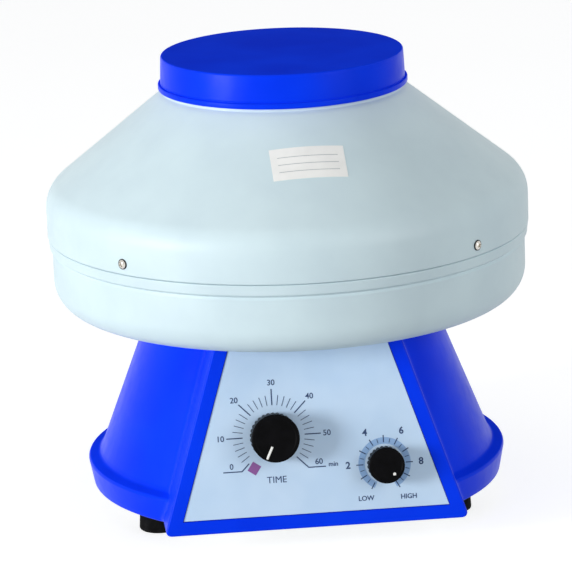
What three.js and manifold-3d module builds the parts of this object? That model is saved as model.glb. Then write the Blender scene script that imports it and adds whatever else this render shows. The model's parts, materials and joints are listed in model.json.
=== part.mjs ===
// A table-top clinical centrifuge: a moulded base with a sloping control panel, a bowl with a conical
// guard over it, a lift-off lid, and inside them a motor, a fixed-angle rotor and the controls.
// Millimetres, +Z up. The panel faces -Y and the origin lies on the table under the rotor's axis.

import * as THREE from "three";
import { mergeVertices } from "three/addons/utils/BufferGeometryUtils.js";
import Module from "manifold-3d";

const wasm = await Module();
wasm.setup();

// Fits

const fit = 0.3; // gap left between faces that touch
const slack = 0.5; // gap round a loose panel or plate
const overrun = 2; // how far a cut runs past the face it opens
const weld = 0.0001; // vertices closer than this are one vertex

// Base moulding, from the table up

const footHeight = 19;
const housingHeight = 126;
const housingWall = 3;
const rimRadius = 145;
const rimDraft = 3.4;
const rimHeight = 17.9;
const rimRound = 2.5;
const coneFootRadius = 136;
const ledgeRise = 2.7;
const flareRound = 9;
const coneTopRadius = 95;
const deckHoleRadius = 60;

// Control panel and the frame round it, measured up the slope from the frame's bottom edge

const panelReach = 131.9;
const panelLeanDegrees = 11.5;
const panelTaperShare = 0.32;
const frameHalfWidth = 102.1;
const frameSide = 10.2;
const frameFoot = 9.7;
const frameHead = 5;
const frameLip = 6;
const frameRecess = 0.6;
const frameWall = 5.9;
const panelThickness = 2;

// Bowl, guard and neck

const bowlWall = 2.5;
const skirtRadius = 165;
const bowlDepth = 49.8;
const bowlRound = 40;
const bandHeight = 8.7;
const lipHeight = 14.3;
const skirtHeight = 30;
const shoulderRound = 22;
const guardRise = 66;
const guardTopRadius = 82.5;
const guardStep = 1.9;
const neckLedge = 3.4;
const neckWall = 2.2;
const neckHeight = 16.1;

// Lid

const lidWall = 2.5;
const lidClearance = 0.9;
const lidDraft = 0.8;
const lidRound = 1.5;
const flangeWidth = 1.7;
const flangeHeight = 3.8;
const sealHeight = 3.9;

// Rotor head and tube sleeves

const tubeCount = 6;
const tubeTiltDegrees = 40;
const tubeCircleRadius = 52;
const seatAboveHub = 20;
const headWall = 4;
const headRimRadius = 72;
const hubRadius = 16;
const hubHeight = 26;
const hubAboveFloor = 62;
const guideLength = 20;
const guideWall = 3;
const sleeveRadius = 9.6;
const sleeveWall = 0.9;
const sleeveLength = 98;
const sleeveFloor = 1.6;
const sleeveChamfer = 5;
const collarWidth = 2.4;
const collarHeight = 2.5;
const nutRadius = 9;
const nutHeight = 14;
const nutRimShare = 0.6; // of the nut's height, up to where its dome starts
const nutCrownShare = 0.6; // of the nut's radius, left flat on top
const dishRootShare = 0.6; // of the hub's radius, where the dish starts inside it

// Motor

const shaftRadius = 4;
const shaftShoulderWidth = 3;
const shaftShoulderHeight = 6;
const motorRadius = 42;
const motorWall = 2;
const motorHeadroom = 12;
const bellWall = 3;
const bellDepth = 21.4;
const fieldWidth = 13;
const fieldMargin = 4;
const airGap = 1.5;
const armatureSlots = 12;
const slotWidth = 3;
const slotDepth = 7;
const windingHeight = 8;
const windingMargin = 4;
const commutatorRadius = 12;
const commutatorHeight = 8.7;
const bearingRadius = 11;
const bearingWidth = 7;
const raceWall = 2.1;
const bearingBossWall = 3;
const brushWidth = 6;
const brushLength = 12;
const brushHolderWall = 2;
const mountRadius = 8;
const mountHeight = 14;
const mountCircleRadius = 48;
const mountCount = 3;
const mountTurn = 90;
const bracketRadius = 58;
const bracketHoleRadius = 12;
const bracketThickness = 3;

// Shaft boot in the bowl's floor

const bootHoleRadius = 22;
const bootLip = 4;
const bootLipHeight = 2;
const bootRise = 12;
const bootWall = 2.5;
const bootFootWall = 7.5;
const shaftClearance = 1.8;

// Base plate, feet and screws

const plateThickness = 2.5;
const ventCount = 6;
const ventWidth = 5;
const ventInnerRadius = 16;
const ventOuterRadius = 36;
const footRadius = 14;
const footDraft = 1.5;
const footInset = 31;
const footRecessRadius = 6;
const footRecessDepth = 6;
const footAngles = { front_right: -28, rear_right: 45, rear_left: 135, front_left: -152 };
const bossWall = 3.5;
const screwRadius = 2;
const screwHeadRadius = 4;
const screwHeadHeight = 2.6;
const screwLength = 14;
const screwCrownShare = 0.6; // of a pan head's radius, left flat on top
const screwEdgeShare = 0.4; // of a pan head's height, upright at its edge
const bowlScrewCount = 3;
const bowlScrewCircleRadius = 78;
const bowlScrewTurn = 30;
const guardScrewHeadRadius = 3;
const guardScrewHeadHeight = 1.7;
const guardScrewRadius = 1.5;
const guardScrewLength = 9;
const guardScrewRise = 7.7;
const guardScrewAngles = [-46.7, 43.3, 133.3, 223.3];

// Timer and speed control, placed on the panel across and up the slope

const timerAcross = -26;
const timerUp = 62.7;
const timerBodyWidth = 42;
const timerBodyDepth = 30;
const timerBushRadius = 5;
const timerKnobRadius = 16;
const timerKnobHeight = 16;
const timerPointerDegrees = 206;
const timerFlutes = 30;
const speedAcross = 47;
const speedUp = 39.7;
const speedBodyRadius = 12;
const speedBodyDepth = 14;
const speedBushRadius = 4.5;
const speedKnobRadius = 12;
const speedKnobHeight = 13;
const speedPointerDegrees = 141;
const speedFlutes = 24;
const bushHeight = 6.5;
const bushNutWidth = 3;
const bushNutHeight = 2.5;
const knobClearance = 1.2;
const knobFloor = 3;
const knobChamfer = 1.2;
const knobSpindleRadius = 3;
const fluteDepth = 0.7;
const pointerWidth = 1.6;
const pointerDepth = 0.5;
const pointerInset = 1;
const timerMarkShare = 0.35; // of the knob's radius, where the pointer line starts
const speedMarkShare = 0.63; // of the knob's radius, out to the pointer dot

// Speed control board

const boardLength = 60;
const boardWidth = 44;
const boardThickness = 1.6;
const boardStandoff = 9;
const boardPostRadius = 3;
const boardFromMotor = 8;
const sinkLength = 40;
const sinkWidth = 14;
const sinkHeight = 26;
const sinkFins = 4;
const sinkSlotWidth = 2;
const sinkBase = 3;

// Mains inlet and fuse holder on the rear pad

const padHalfWidth = 38;
const padHeight = 50;
const padRise = 24;
const padReach = 136;
const padRootShare = 0.5; // of the cone's top radius, where the pad starts inside the cone
const inletAcross = -11;
const inletBodyWidth = 27.4;
const inletBodyHeight = 20.4;
const inletBodyDepth = 22;
const inletFlangeBorder = 3;
const inletFlangeThickness = 2.5;
const inletWall = 1.7;
const inletSocketDepth = 16;
const inletChamfer = 5;
const pinWidth = 4;
const pinThickness = 2;
const pinLength = 9;
const pinPitch = 7;
const pinOffset = 3;
const fuseAcross = 25;
const fuseBodyRadius = 6.3;
const fuseBodyDepth = 26;
const fuseCapRadius = 8;
const fuseCapHeight = 5;
const fuseSlotWidth = 1.5;
const fuseSlotDepth = 1;

// Smoothness

const bowlSides = 40;
const partSides = 24;
const smallSides = 12;
const screwSides = 8;
const arcSteps = 3;
const cornerShare = 0.49; // of the shorter side beside a corner, the most that its arc may take
const farShare = 3; // of the rim's radius, past everything

// Heights and radii worked out from the sizes above

const radians = (degrees) => (degrees * Math.PI) / 180;
const deckTop = footHeight + housingHeight;
const bowlBottom = deckTop + fit;
const bowlFloor = bowlBottom + bowlWall;
const seam = bowlBottom + bowlDepth;
const shoulder = seam + fit + skirtHeight;
const guardTop = shoulder + guardRise;
const neckBottom = guardTop + guardStep;
const neckTop = neckBottom + neckHeight;
const neckRadius = guardTopRadius - neckLedge;
const neckBore = neckRadius - neckWall;
const lidBottom = neckBottom + fit;
const lidUnderside = neckTop + fit + sealHeight + fit;
const lidTop = lidUnderside + lidWall;
const lidInnerRadius = neckRadius + lidClearance;
const bowlRadius = skirtRadius - bowlWall - fit;
const guardSlope = guardRise / (skirtRadius - guardTopRadius);
const plateBottom = footHeight + fit;
const plateTop = plateBottom + plateThickness;
const bracketBottom = plateTop + fit + mountHeight + fit;
const bracketTop = bracketBottom + bracketThickness;
const motorBottom = bracketTop + fit;
const motorTop = bowlBottom - motorHeadroom;
const bearingSeat = bearingWidth + fit + fit;
const lowerBearingBottom = motorBottom + bellWall + fit;
const lowerBossTop = motorBottom + bellWall + bearingSeat;
const upperBellBottom = motorTop - bellWall - bearingSeat;
const upperBearingBottom = upperBellBottom + bellWall + fit;
const frameBottom = motorBottom + bellDepth + fit;
const frameTop = upperBellBottom - fit;
const coreBottom = frameBottom + fieldMargin;
const coreTop = frameTop - fieldMargin - windingHeight;
const coreRadius = motorRadius - motorWall - fit - fieldWidth - airGap;
const brushMiddle = lowerBossTop + brushWidth / 2 + brushHolderWall + fit;
const commutatorBottom = brushMiddle - commutatorHeight / 2;
const hubBottom = bowlFloor + hubAboveFloor;
const hubTop = hubBottom + hubHeight;
const seatHeight = hubTop + seatAboveHub;
const shaftTop = hubTop + nutHeight * nutRimShare;
const tubeTilt = radians(tubeTiltDegrees);
const footCircle = rimRadius - footInset;
const panelLean = radians(panelLeanDegrees);
const panelSlope = housingHeight / Math.cos(panelLean);
const padBottom = footHeight + padRise;
const padMiddle = padBottom + padHeight / 2;

// Materials

const finish = (color, roughness, metalness = 0) =>
  new THREE.MeshStandardMaterial({ color, roughness, metalness, flatShading: true });
const bluePlastic = finish(0x0a2be0, 0.25);
const greyEnamel = finish(0xcddfe6, 0.35);
const panelPrint = finish(0xbed7eb, 0.5);
const blackKnob = finish(0x0c0c0f, 0.45);
const blackRubber = finish(0x141414, 0.9);
const chromedSteel = finish(0xc8cdd2, 0.2, 1);
const turnedSteel = finish(0x9aa0a6, 0.35, 1);
const zincPlate = finish(0xaab0b4, 0.45, 1);
const castAluminium = finish(0xb9bdc1, 0.4, 1);
const brass = finish(0xb5964a, 0.35, 1);
const copper = finish(0xb06a3a, 0.4, 1);
const laminations = finish(0x55585c, 0.6, 0.8);
const carbon = finish(0x222224, 0.8);
const blackPlastic = finish(0x1a1a1c, 0.5);
const boardResin = finish(0x2f6b3a, 0.6);

// A closed geometry as a solid that can be joined and cut.
function toSolid(geometry) {
  const bare = geometry.clone();
  bare.deleteAttribute("normal");
  bare.deleteAttribute("uv");
  const merged = mergeVertices(bare, weld);
  const vertProperties = merged.attributes.position.array;
  const triVerts = new Uint32Array(merged.index.array);
  return new wasm.Manifold(new wasm.Mesh({ numProp: 3, vertProperties, triVerts }));
}

// A solid as a geometry again.
function toGeometry(made) {
  const { vertProperties, triVerts } = made.getMesh();
  const geometry = new THREE.BufferGeometry();
  geometry.setAttribute("position", new THREE.BufferAttribute(vertProperties, 3));
  return geometry.setIndex(new THREE.BufferAttribute(triVerts, 1));
}

function combined(verb, first, others) {
  let made = toSolid(first);
  for (const other of others.flat()) made = made[verb](toSolid(other));
  return toGeometry(made);
}

const joined = (first, ...others) => combined("add", first, others);
const cut = (first, ...others) => combined("subtract", first, others);
const common = (first, ...others) => combined("intersect", first, others);

// An outline from corners [across, up, radius], each corner with a radius turned into an arc.
function rounded(corners) {
  return corners.flatMap(([across, up, radius = 0], i) => {
    const corner = new THREE.Vector2(across, up);
    if (radius === 0) return [corner];
    const before = new THREE.Vector2(...corners.at(i - 1)).sub(corner);
    const after = new THREE.Vector2(...corners[(i + 1) % corners.length]).sub(corner);
    const room = Math.min(before.length(), after.length());
    const half = Math.acos(before.normalize().dot(after.normalize())) / 2;
    const reach = Math.min(radius / Math.tan(half), room * cornerShare);
    const bend = reach * Math.tan(half);
    const middle = before.clone().add(after).normalize().multiplyScalar(bend / Math.sin(half)).add(corner);
    const from = before.multiplyScalar(reach).add(corner).sub(middle);
    const to = after.multiplyScalar(reach).add(corner).sub(middle);
    const sweep = Math.PI - 2 * half;
    return Array.from({ length: arcSteps + 1 }, (_, step) => {
      const t = step / arcSteps;
      const a = Math.sin((1 - t) * sweep) / Math.sin(sweep);
      const b = Math.sin(t * sweep) / Math.sin(sweep);
      return new THREE.Vector2(from.x * a + to.x * b, from.y * a + to.y * b).add(middle);
    });
  });
}

// A body turned about Z from corners [radius, height, rounding]: a ring, unless it starts on the axis.
function turned(corners, sides = partSides) {
  const line = rounded(corners);
  if (THREE.ShapeUtils.area(line) < 0) line.reverse();
  if (corners[0][0] > 0) line.push(line[0].clone());
  return new THREE.LatheGeometry(line, sides).rotateX(Math.PI / 2);
}

const rod = (radius, bottom, top, sides = partSides) =>
  turned([[0, bottom], [radius, bottom], [radius, top], [0, top]], sides);

const tube = (outer, inner, bottom, top, sides = partSides) =>
  turned([[inner, bottom], [outer, bottom], [outer, top], [inner, top]], sides);

// A flat outline of corners [x, y] drawn up along Z.
function extruded(corners, bottom, top) {
  const shape = new THREE.Shape(corners.map(([x, y]) => new THREE.Vector2(x, y)));
  const depth = top - bottom;
  return new THREE.ExtrudeGeometry(shape, { depth, bevelEnabled: false }).translate(0, 0, bottom);
}

// A box between two values along each axis.
function block([left, right], [front, back], [bottom, top]) {
  const box = new THREE.BoxGeometry(right - left, back - front, top - bottom);
  return box.translate((left + right) / 2, (front + back) / 2, (bottom + top) / 2);
}

const moved = (geometry, x, y, z = 0) => geometry.clone().translate(x, y, z);
const spun = (geometry, degrees) => geometry.clone().rotateZ(radians(degrees));

// The places [x, y, degrees] of a number of copies round the axis.
function around(count, radius, firstDegrees) {
  return Array.from({ length: count }, (_, i) => {
    const degrees = firstDegrees + (i * 360) / count;
    return [radius * Math.cos(radians(degrees)), radius * Math.sin(radians(degrees)), degrees];
  });
}

const centrifuge = new THREE.Group();

function piece(name, geometry, material, parent = centrifuge) {
  const mesh = new THREE.Mesh(geometry, material);
  mesh.name = name;
  parent.add(mesh);
  return mesh;
}

// The control panel's frame: X across, Y up the slope, Z out of the panel, from the frame's bottom edge.
const panelGroup = new THREE.Group();
panelGroup.position.set(0, -panelReach, footHeight);
panelGroup.rotation.x = Math.PI / 2 - panelLean;
panelGroup.updateMatrixWorld();
centrifuge.add(panelGroup);
const onPanel = (geometry) => geometry.clone().applyMatrix4(panelGroup.matrixWorld);

// The rear pad's frame: X across, Y down, Z out of the pad, from the pad's middle.
const rearGroup = new THREE.Group();
rearGroup.position.set(0, padReach, padMiddle);
rearGroup.rotation.x = -Math.PI / 2;
rearGroup.updateMatrixWorld();
centrifuge.add(rearGroup);
const onRear = (geometry) => geometry.clone().applyMatrix4(rearGroup.matrixWorld);

// Everything that lies deeper than a given distance behind the panel's front.
const farAway = rimRadius * farShare;
const behindPanel = (distance) =>
  onPanel(block([-farAway, farAway], [-farAway, farAway], [-farAway, -distance]));

// The panel's half width at a height up the slope, less an inset.
const halfWidthAt = (up, inset) => frameHalfWidth - panelTaperShare * up - inset;

// The box that carries the panel, between two heights, with its sides moved in by an inset.
function panelBox(inset, bottom, top) {
  const low = halfWidthAt((bottom - footHeight) / Math.cos(panelLean), inset);
  const high = halfWidthAt((top - footHeight) / Math.cos(panelLean), inset);
  const face = extruded([[-low, bottom], [low, bottom], [high, top], [-high, top]], 0, panelReach + overrun);
  return face.rotateX(Math.PI / 2);
}

// The panel's own outline, moved in by an inset.
function panelOutline(inset) {
  const low = frameFoot + inset;
  const high = panelSlope - frameHead - inset;
  const side = frameSide + inset;
  const lowHalf = halfWidthAt(low, side);
  const highHalf = halfWidthAt(high, side);
  return [[-lowHalf, low], [lowHalf, low], [highHalf, high], [-highHalf, high]];
}

// Feet and the screws that hold them, the base plate and the moulding together

const footPlaces = Object.entries(footAngles).map(([place, degrees]) => {
  const [x, y] = around(1, footCircle, degrees)[0];
  return { place, x, y };
});
const screwHole = screwRadius + fit;
const footHole = rod(screwHole, -overrun, plateTop + screwLength + overrun, smallSides);

function foot() {
  return turned([
    [screwHole, footRecessDepth],
    [footRecessRadius, footRecessDepth],
    [footRecessRadius, 0],
    [footRadius, 0],
    [footRadius - footDraft, footHeight],
    [screwHole, footHeight],
  ], smallSides);
}

function panHeadScrew(shank, head, headHeight, length) {
  return turned([
    [0, -headHeight],
    [head * screwCrownShare, -headHeight],
    [head, -headHeight * screwEdgeShare],
    [head, 0],
    [shank, 0],
    [shank, length],
    [0, length],
  ], screwSides);
}

for (const { place, x, y } of footPlaces) {
  piece("foot_" + place, moved(foot(), x, y), blackRubber);
  const reach = plateTop + screwLength - footRecessDepth;
  const screw = panHeadScrew(screwRadius, screwHeadRadius, screwHeadHeight, reach);
  piece("foot_screw_" + place, moved(screw, x, y, footRecessDepth - fit), zincPlate);
}

// Base moulding

function housing() {
  const coneFoot = footHeight + rimHeight + ledgeRise;
  const coneLean = (coneFootRadius - coneTopRadius) / (deckTop - coneFoot);
  const acrossWall = housingWall * Math.hypot(1, coneLean);
  const outer = turned([
    [0, footHeight],
    [rimRadius - rimDraft, footHeight],
    [rimRadius, footHeight + rimHeight, rimRound],
    [coneFootRadius, coneFoot, flareRound],
    [coneTopRadius, deckTop],
    [0, deckTop],
  ], bowlSides);
  const innerFootRadius = rimRadius - rimDraft - housingWall;
  const inner = turned([
    [0, footHeight - overrun],
    [innerFootRadius, footHeight - overrun],
    [innerFootRadius, footHeight + rimHeight - housingWall],
    [coneFootRadius - acrossWall, coneFoot - housingWall],
    [coneTopRadius - acrossWall + housingWall * coneLean, deckTop - housingWall],
    [0, deckTop - housingWall],
  ], bowlSides);
  const box = panelBox(0, footHeight, deckTop);
  const innerBox = panelBox(housingWall, footHeight - overrun, deckTop - housingWall);
  const padRoot = coneTopRadius * padRootShare;
  const padTop = padBottom + padHeight;
  const pad = block([-padHalfWidth, padHalfWidth], [padRoot, padReach], [padBottom, padTop]);
  const padInner = block(
    [-padHalfWidth + housingWall, padHalfWidth - housingWall],
    [padRoot, padReach - housingWall],
    [padBottom + housingWall, padTop - housingWall],
  );
  const outside = common(joined(outer, box, pad), behindPanel(0));
  const inside = joined(common(joined(inner, innerBox), behindPanel(frameWall)), padInner);

  const bosses = footPlaces.map(({ x, y }) =>
    moved(rod(screwHole + bossWall, plateTop + fit, deckTop - housingWall / 2, smallSides), x, y));
  const holdDowns = around(bowlScrewCount, bowlScrewCircleRadius, bowlScrewTurn).map(([x, y]) =>
    moved(rod(screwHole + bossWall, deckTop - screwLength, deckTop - housingWall / 2, smallSides), x, y));
  const posts = common(joined(bosses[0], bosses.slice(1), holdDowns), outside);
  const shell = joined(cut(outside, inside), posts);

  const pocketDepth = frameRecess + panelThickness + fit;
  const pocket = onPanel(extruded(panelOutline(-slack), -pocketDepth, overrun));
  const window = onPanel(extruded(panelOutline(frameLip), -frameWall - overrun, 0));
  const shaftHole = rod(deckHoleRadius, deckTop - housingWall - overrun, deckTop + overrun, bowlSides);
  const footHoles = footPlaces.map(({ x, y }) => moved(footHole, x, y));
  const bowlHoles = around(bowlScrewCount, bowlScrewCircleRadius, bowlScrewTurn).map(([x, y]) =>
    moved(rod(screwHole, deckTop - screwLength - overrun, deckTop + overrun, smallSides), x, y));
  const inletHole = onRear(inletBlock(slack, -housingWall - overrun, overrun));
  const fuseBore = rod(fuseBodyRadius + fit, -housingWall - overrun, overrun, smallSides);
  const fuseHole = onRear(moved(fuseBore, fuseAcross, 0));
  return cut(shell, pocket, window, shaftHole, footHoles, bowlHoles, inletHole, fuseHole);
}

// The inlet's body between two depths, grown by a margin.
function inletBlock(margin, inner, outer) {
  const halfWidth = inletBodyWidth / 2 + margin;
  const halfHeight = inletBodyHeight / 2 + margin;
  return block([inletAcross - halfWidth, inletAcross + halfWidth], [-halfHeight, halfHeight], [inner, outer]);
}

piece("base_housing", housing(), bluePlastic);

// Base plate, with the posts that carry the control board

const boardLeft = bracketRadius + boardFromMotor;
const boardPosts = [boardPostRadius, boardWidth - boardPostRadius].flatMap((across) =>
  [-1, 1].map((side) => [boardLeft + across, side * (boardLength / 2 - boardPostRadius)]));

function basePlate() {
  const disc = rod(rimRadius - rimDraft - housingWall - slack, plateBottom, plateTop, bowlSides);
  const front = panelBox(housingWall + slack, plateBottom, plateTop);
  const flat = common(joined(disc, front), behindPanel(frameWall + slack));
  const posts = boardPosts.map(([x, y]) =>
    moved(rod(boardPostRadius, plateBottom, plateTop + boardStandoff, smallSides), x, y));
  const holes = footPlaces.map(({ x, y }) => moved(footHole, x, y));
  const halfVent = ventWidth / 2;
  const vent = block([ventInnerRadius, ventOuterRadius], [-halfVent, halfVent], [0, plateTop + overrun]);
  const vents = around(ventCount, ventInnerRadius, 0).map(([, , degrees]) => spun(vent, degrees));
  return cut(joined(flat, posts), holes, vents);
}

piece("base_plate", basePlate(), zincPlate);

// Control panel

function controlPanel() {
  const back = -frameRecess - panelThickness;
  const sheet = extruded(panelOutline(0), back, -frameRecess);
  const bushHole = (bush, across, up) =>
    moved(rod(bush + fit, back - overrun, overrun, smallSides), across, up);
  const timerHole = bushHole(timerBushRadius, timerAcross, timerUp);
  const speedHole = bushHole(speedBushRadius, speedAcross, speedUp);
  return cut(sheet, timerHole, speedHole);
}

piece("control_panel", controlPanel(), panelPrint, panelGroup);

// Lower bowl

function lowerBowl() {
  const holes = around(bowlScrewCount, bowlScrewCircleRadius, bowlScrewTurn).map(([x, y]) =>
    moved(rod(screwHole, bowlBottom - overrun, bowlFloor + overrun, smallSides), x, y));
  const bandRadius = skirtRadius - fit;
  const lipTop = seam + lipHeight;
  const bowl = turned([
    [bootHoleRadius, bowlBottom],
    [bowlRadius, bowlBottom, bowlRound],
    [bowlRadius, seam - bandHeight],
    [bandRadius, seam],
    [bowlRadius, seam],
    [bowlRadius, lipTop],
    [bowlRadius - bowlWall, lipTop],
    [bowlRadius - bowlWall, bowlFloor, bowlRound - bowlWall],
    [bootHoleRadius, bowlFloor],
  ], bowlSides);
  return cut(bowl, holes, guardScrewHoles());
}

// The holes for the screws through the guard's skirt and the bowl's lip.
function guardScrewHoles() {
  return guardScrewAngles.map((degrees) =>
    guardScrewPlace(rod(guardScrewRadius + fit, -guardScrewLength - overrun, overrun, smallSides), degrees));
}

// A screw drawn along Z, laid to point outwards at the skirt's face.
function guardScrewPlace(geometry, degrees) {
  const laid = geometry.clone().rotateY(Math.PI / 2);
  return spun(moved(laid, skirtRadius, 0, seam + guardScrewRise), degrees);
}

piece("lower_bowl", lowerBowl(), greyEnamel);

for (const [i, [x, y]] of around(bowlScrewCount, bowlScrewCircleRadius, bowlScrewTurn).entries()) {
  const screw = panHeadScrew(screwRadius, screwHeadRadius, screwHeadHeight, screwLength - housingWall);
  screw.rotateX(Math.PI);
  piece("bowl_screw_" + (i + 1), moved(screw, x, y, bowlFloor + fit), zincPlate);
}

// Guard over the bowl, with the neck that the lid fits

function guard() {
  const levelWall = bowlWall * Math.hypot(1, guardSlope);
  const innerShoulder = shoulder + guardSlope * bowlWall - levelWall;
  const innerTop = innerShoulder + guardSlope * (skirtRadius - bowlWall - neckBore);
  const shell = turned([
    [skirtRadius - bowlWall, seam + fit],
    [skirtRadius, seam + fit],
    [skirtRadius, shoulder, shoulderRound],
    [guardTopRadius, guardTop],
    [guardTopRadius, neckBottom],
    [neckRadius, neckBottom],
    [neckRadius, neckTop],
    [neckBore, neckTop],
    [neckBore, innerTop],
    [skirtRadius - bowlWall, innerShoulder, shoulderRound - bowlWall],
  ], bowlSides);
  return cut(shell, guardScrewHoles());
}

piece("bowl_guard", guard(), greyEnamel);

for (const [i, degrees] of guardScrewAngles.entries()) {
  const screw = panHeadScrew(guardScrewRadius, guardScrewHeadRadius, guardScrewHeadHeight, guardScrewLength);
  screw.rotateX(Math.PI).translate(0, 0, fit);
  piece("guard_screw_" + (i + 1), guardScrewPlace(screw, degrees), chromedSteel);
}

// Shaft boot in the bowl's floor

function shaftBoot() {
  const groove = bootHoleRadius - fit;
  const lip = bootHoleRadius + bootLip;
  const bore = shaftRadius + shaftClearance;
  const top = bowlFloor + fit + bootLipHeight;
  const bottom = bowlBottom - fit - bootLipHeight;
  return turned([
    [bore, bottom],
    [lip, bottom],
    [lip, bowlBottom - fit],
    [groove, bowlBottom - fit],
    [groove, bowlFloor + fit],
    [lip, bowlFloor + fit],
    [lip, top],
    [bore + bootFootWall, top],
    [bore + bootWall, top + bootRise],
    [bore, top + bootRise],
  ]);
}

piece("shaft_boot", shaftBoot(), blackRubber);

// Motor bracket on its rubber mounts

const mountPlaces = around(mountCount, mountCircleRadius, mountTurn);
for (const [i, [x, y]] of mountPlaces.entries()) {
  const mount = rod(mountRadius, plateTop + fit, bracketBottom - fit, smallSides);
  piece("motor_mount_" + (i + 1), moved(mount, x, y), blackRubber);
}
piece("motor_bracket", tube(bracketRadius, bracketHoleRadius, bracketBottom, bracketTop), zincPlate);

// Motor: two end bells, the frame between them and the field core inside it

const shaftHole = shaftRadius + raceWall + fit;
const bossRadius = bearingRadius + fit + bearingBossWall;
const brushReach = commutatorRadius + fit;
const brushEnd = brushReach + brushLength;

function brushChannel(margin, inner, outer) {
  const half = brushWidth / 2 + margin;
  return block([inner, outer], [-half, half], [brushMiddle - half, brushMiddle + half]);
}

function lowerBell() {
  const cup = turned([
    [shaftHole, motorBottom],
    [motorRadius, motorBottom],
    [motorRadius, motorBottom + bellDepth],
    [motorRadius - motorWall, motorBottom + bellDepth],
    [motorRadius - motorWall, motorBottom + bellWall],
    [bossRadius, motorBottom + bellWall],
    [bossRadius, lowerBossTop],
    [bearingRadius + fit, lowerBossTop],
    [bearingRadius + fit, motorBottom + bellWall],
    [shaftHole, motorBottom + bellWall],
  ]);
  const holderStart = brushReach + brushWidth / 2;
  const holder = brushChannel(fit + brushHolderWall, holderStart, motorRadius - motorWall / 2);
  const channel = brushChannel(fit, brushReach, brushEnd + fit);
  const sides = [0, 180];
  const holders = sides.map((degrees) => spun(holder, degrees));
  const channels = sides.map((degrees) => spun(channel, degrees));
  return cut(joined(cup, holders), channels);
}

function upperBell() {
  return turned([
    [shaftHole, upperBellBottom],
    [motorRadius, upperBellBottom],
    [motorRadius, upperBellBottom + bellWall],
    [bossRadius, upperBellBottom + bellWall],
    [bossRadius, motorTop],
    [bearingRadius + fit, motorTop],
    [bearingRadius + fit, upperBellBottom + bellWall],
    [shaftHole, upperBellBottom + bellWall],
  ]);
}

function bearingRaces(name, bottom, rotor) {
  const inside = shaftRadius + fit;
  const outerRace = tube(bearingRadius, bearingRadius - raceWall, bottom, bottom + bearingWidth);
  const innerRace = tube(inside + raceWall - fit, inside, bottom, bottom + bearingWidth);
  piece(name + "_outer_race", outerRace, turnedSteel);
  piece(name + "_inner_race", innerRace, turnedSteel, rotor);
}

const rotorGroup = new THREE.Group();
centrifuge.add(rotorGroup);

piece("motor_lower_bell", lowerBell(), castAluminium);
piece("motor_upper_bell", upperBell(), castAluminium);
piece("motor_frame", tube(motorRadius, motorRadius - motorWall, frameBottom, frameTop), laminations);
const fieldRadius = motorRadius - motorWall - fit;
piece("motor_field_core", tube(fieldRadius, fieldRadius - fieldWidth, coreBottom, coreTop), laminations);
bearingRaces("lower_bearing", lowerBearingBottom, rotorGroup);
bearingRaces("upper_bearing", upperBearingBottom, rotorGroup);
for (const [name, degrees] of [["brush_right", 0], ["brush_left", 180]]) {
  piece(name, spun(brushChannel(0, brushReach, brushEnd), degrees), carbon);
}

// Shaft, armature and commutator

const shaftBore = shaftRadius + fit;

function shaft() {
  const shoulderRadius = shaftRadius + shaftShoulderWidth;
  const shoulderTop = hubBottom - fit;
  return turned([
    [0, motorBottom + fit],
    [shaftRadius, motorBottom + fit],
    [shaftRadius, shoulderTop - shaftShoulderHeight],
    [shoulderRadius, shoulderTop - shaftShoulderHeight],
    [shoulderRadius, shoulderTop],
    [shaftRadius, shoulderTop],
    [shaftRadius, shaftTop],
    [0, shaftTop],
  ]);
}

function armature() {
  const windingRadius = coreRadius - windingMargin;
  const windingBottom = commutatorBottom + commutatorHeight + fit;
  const wound = turned([
    [shaftBore, windingBottom],
    [commutatorRadius, windingBottom],
    [windingRadius, coreBottom - windingMargin / 2],
    [windingRadius, coreTop + windingHeight / 2],
    [commutatorRadius, coreTop + windingHeight],
    [shaftBore, coreTop + windingHeight],
  ]);
  const core = tube(coreRadius, shaftBore, coreBottom, coreTop);
  const slot = block([coreRadius - slotDepth, coreRadius + overrun], [-slotWidth / 2, slotWidth / 2],
    [coreBottom - overrun, coreTop + overrun]);
  const slots = around(armatureSlots, coreRadius, 0).map(([, , degrees]) => spun(slot, degrees));
  return joined(cut(core, slots), wound);
}

piece("motor_shaft", shaft(), turnedSteel, rotorGroup);
piece("armature", armature(), copper, rotorGroup);
const commutatorTop = commutatorBottom + commutatorHeight;
piece("commutator", tube(commutatorRadius, shaftBore, commutatorBottom, commutatorTop), copper, rotorGroup);

// Rotor head: a dished plate with a guide for each tube sleeve

// The place of a sleeve: Z runs out of its mouth and the collar sits just above the origin.
function sleevePlace(degrees) {
  const turn = new THREE.Matrix4().makeRotationZ(radians(degrees));
  const seat = new THREE.Matrix4().makeTranslation(tubeCircleRadius, 0, seatHeight);
  const lean = new THREE.Matrix4().makeRotationY(-tubeTilt);
  return turn.multiply(seat).multiply(lean);
}

const sleeveDegrees = around(tubeCount, tubeCircleRadius, 0).map(([, , degrees]) => degrees);
const atSleeve = (geometry, degrees) => geometry.clone().applyMatrix4(sleevePlace(degrees));
const sleeveBore = sleeveRadius + fit;
const collarRadius = sleeveRadius + collarWidth;

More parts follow.
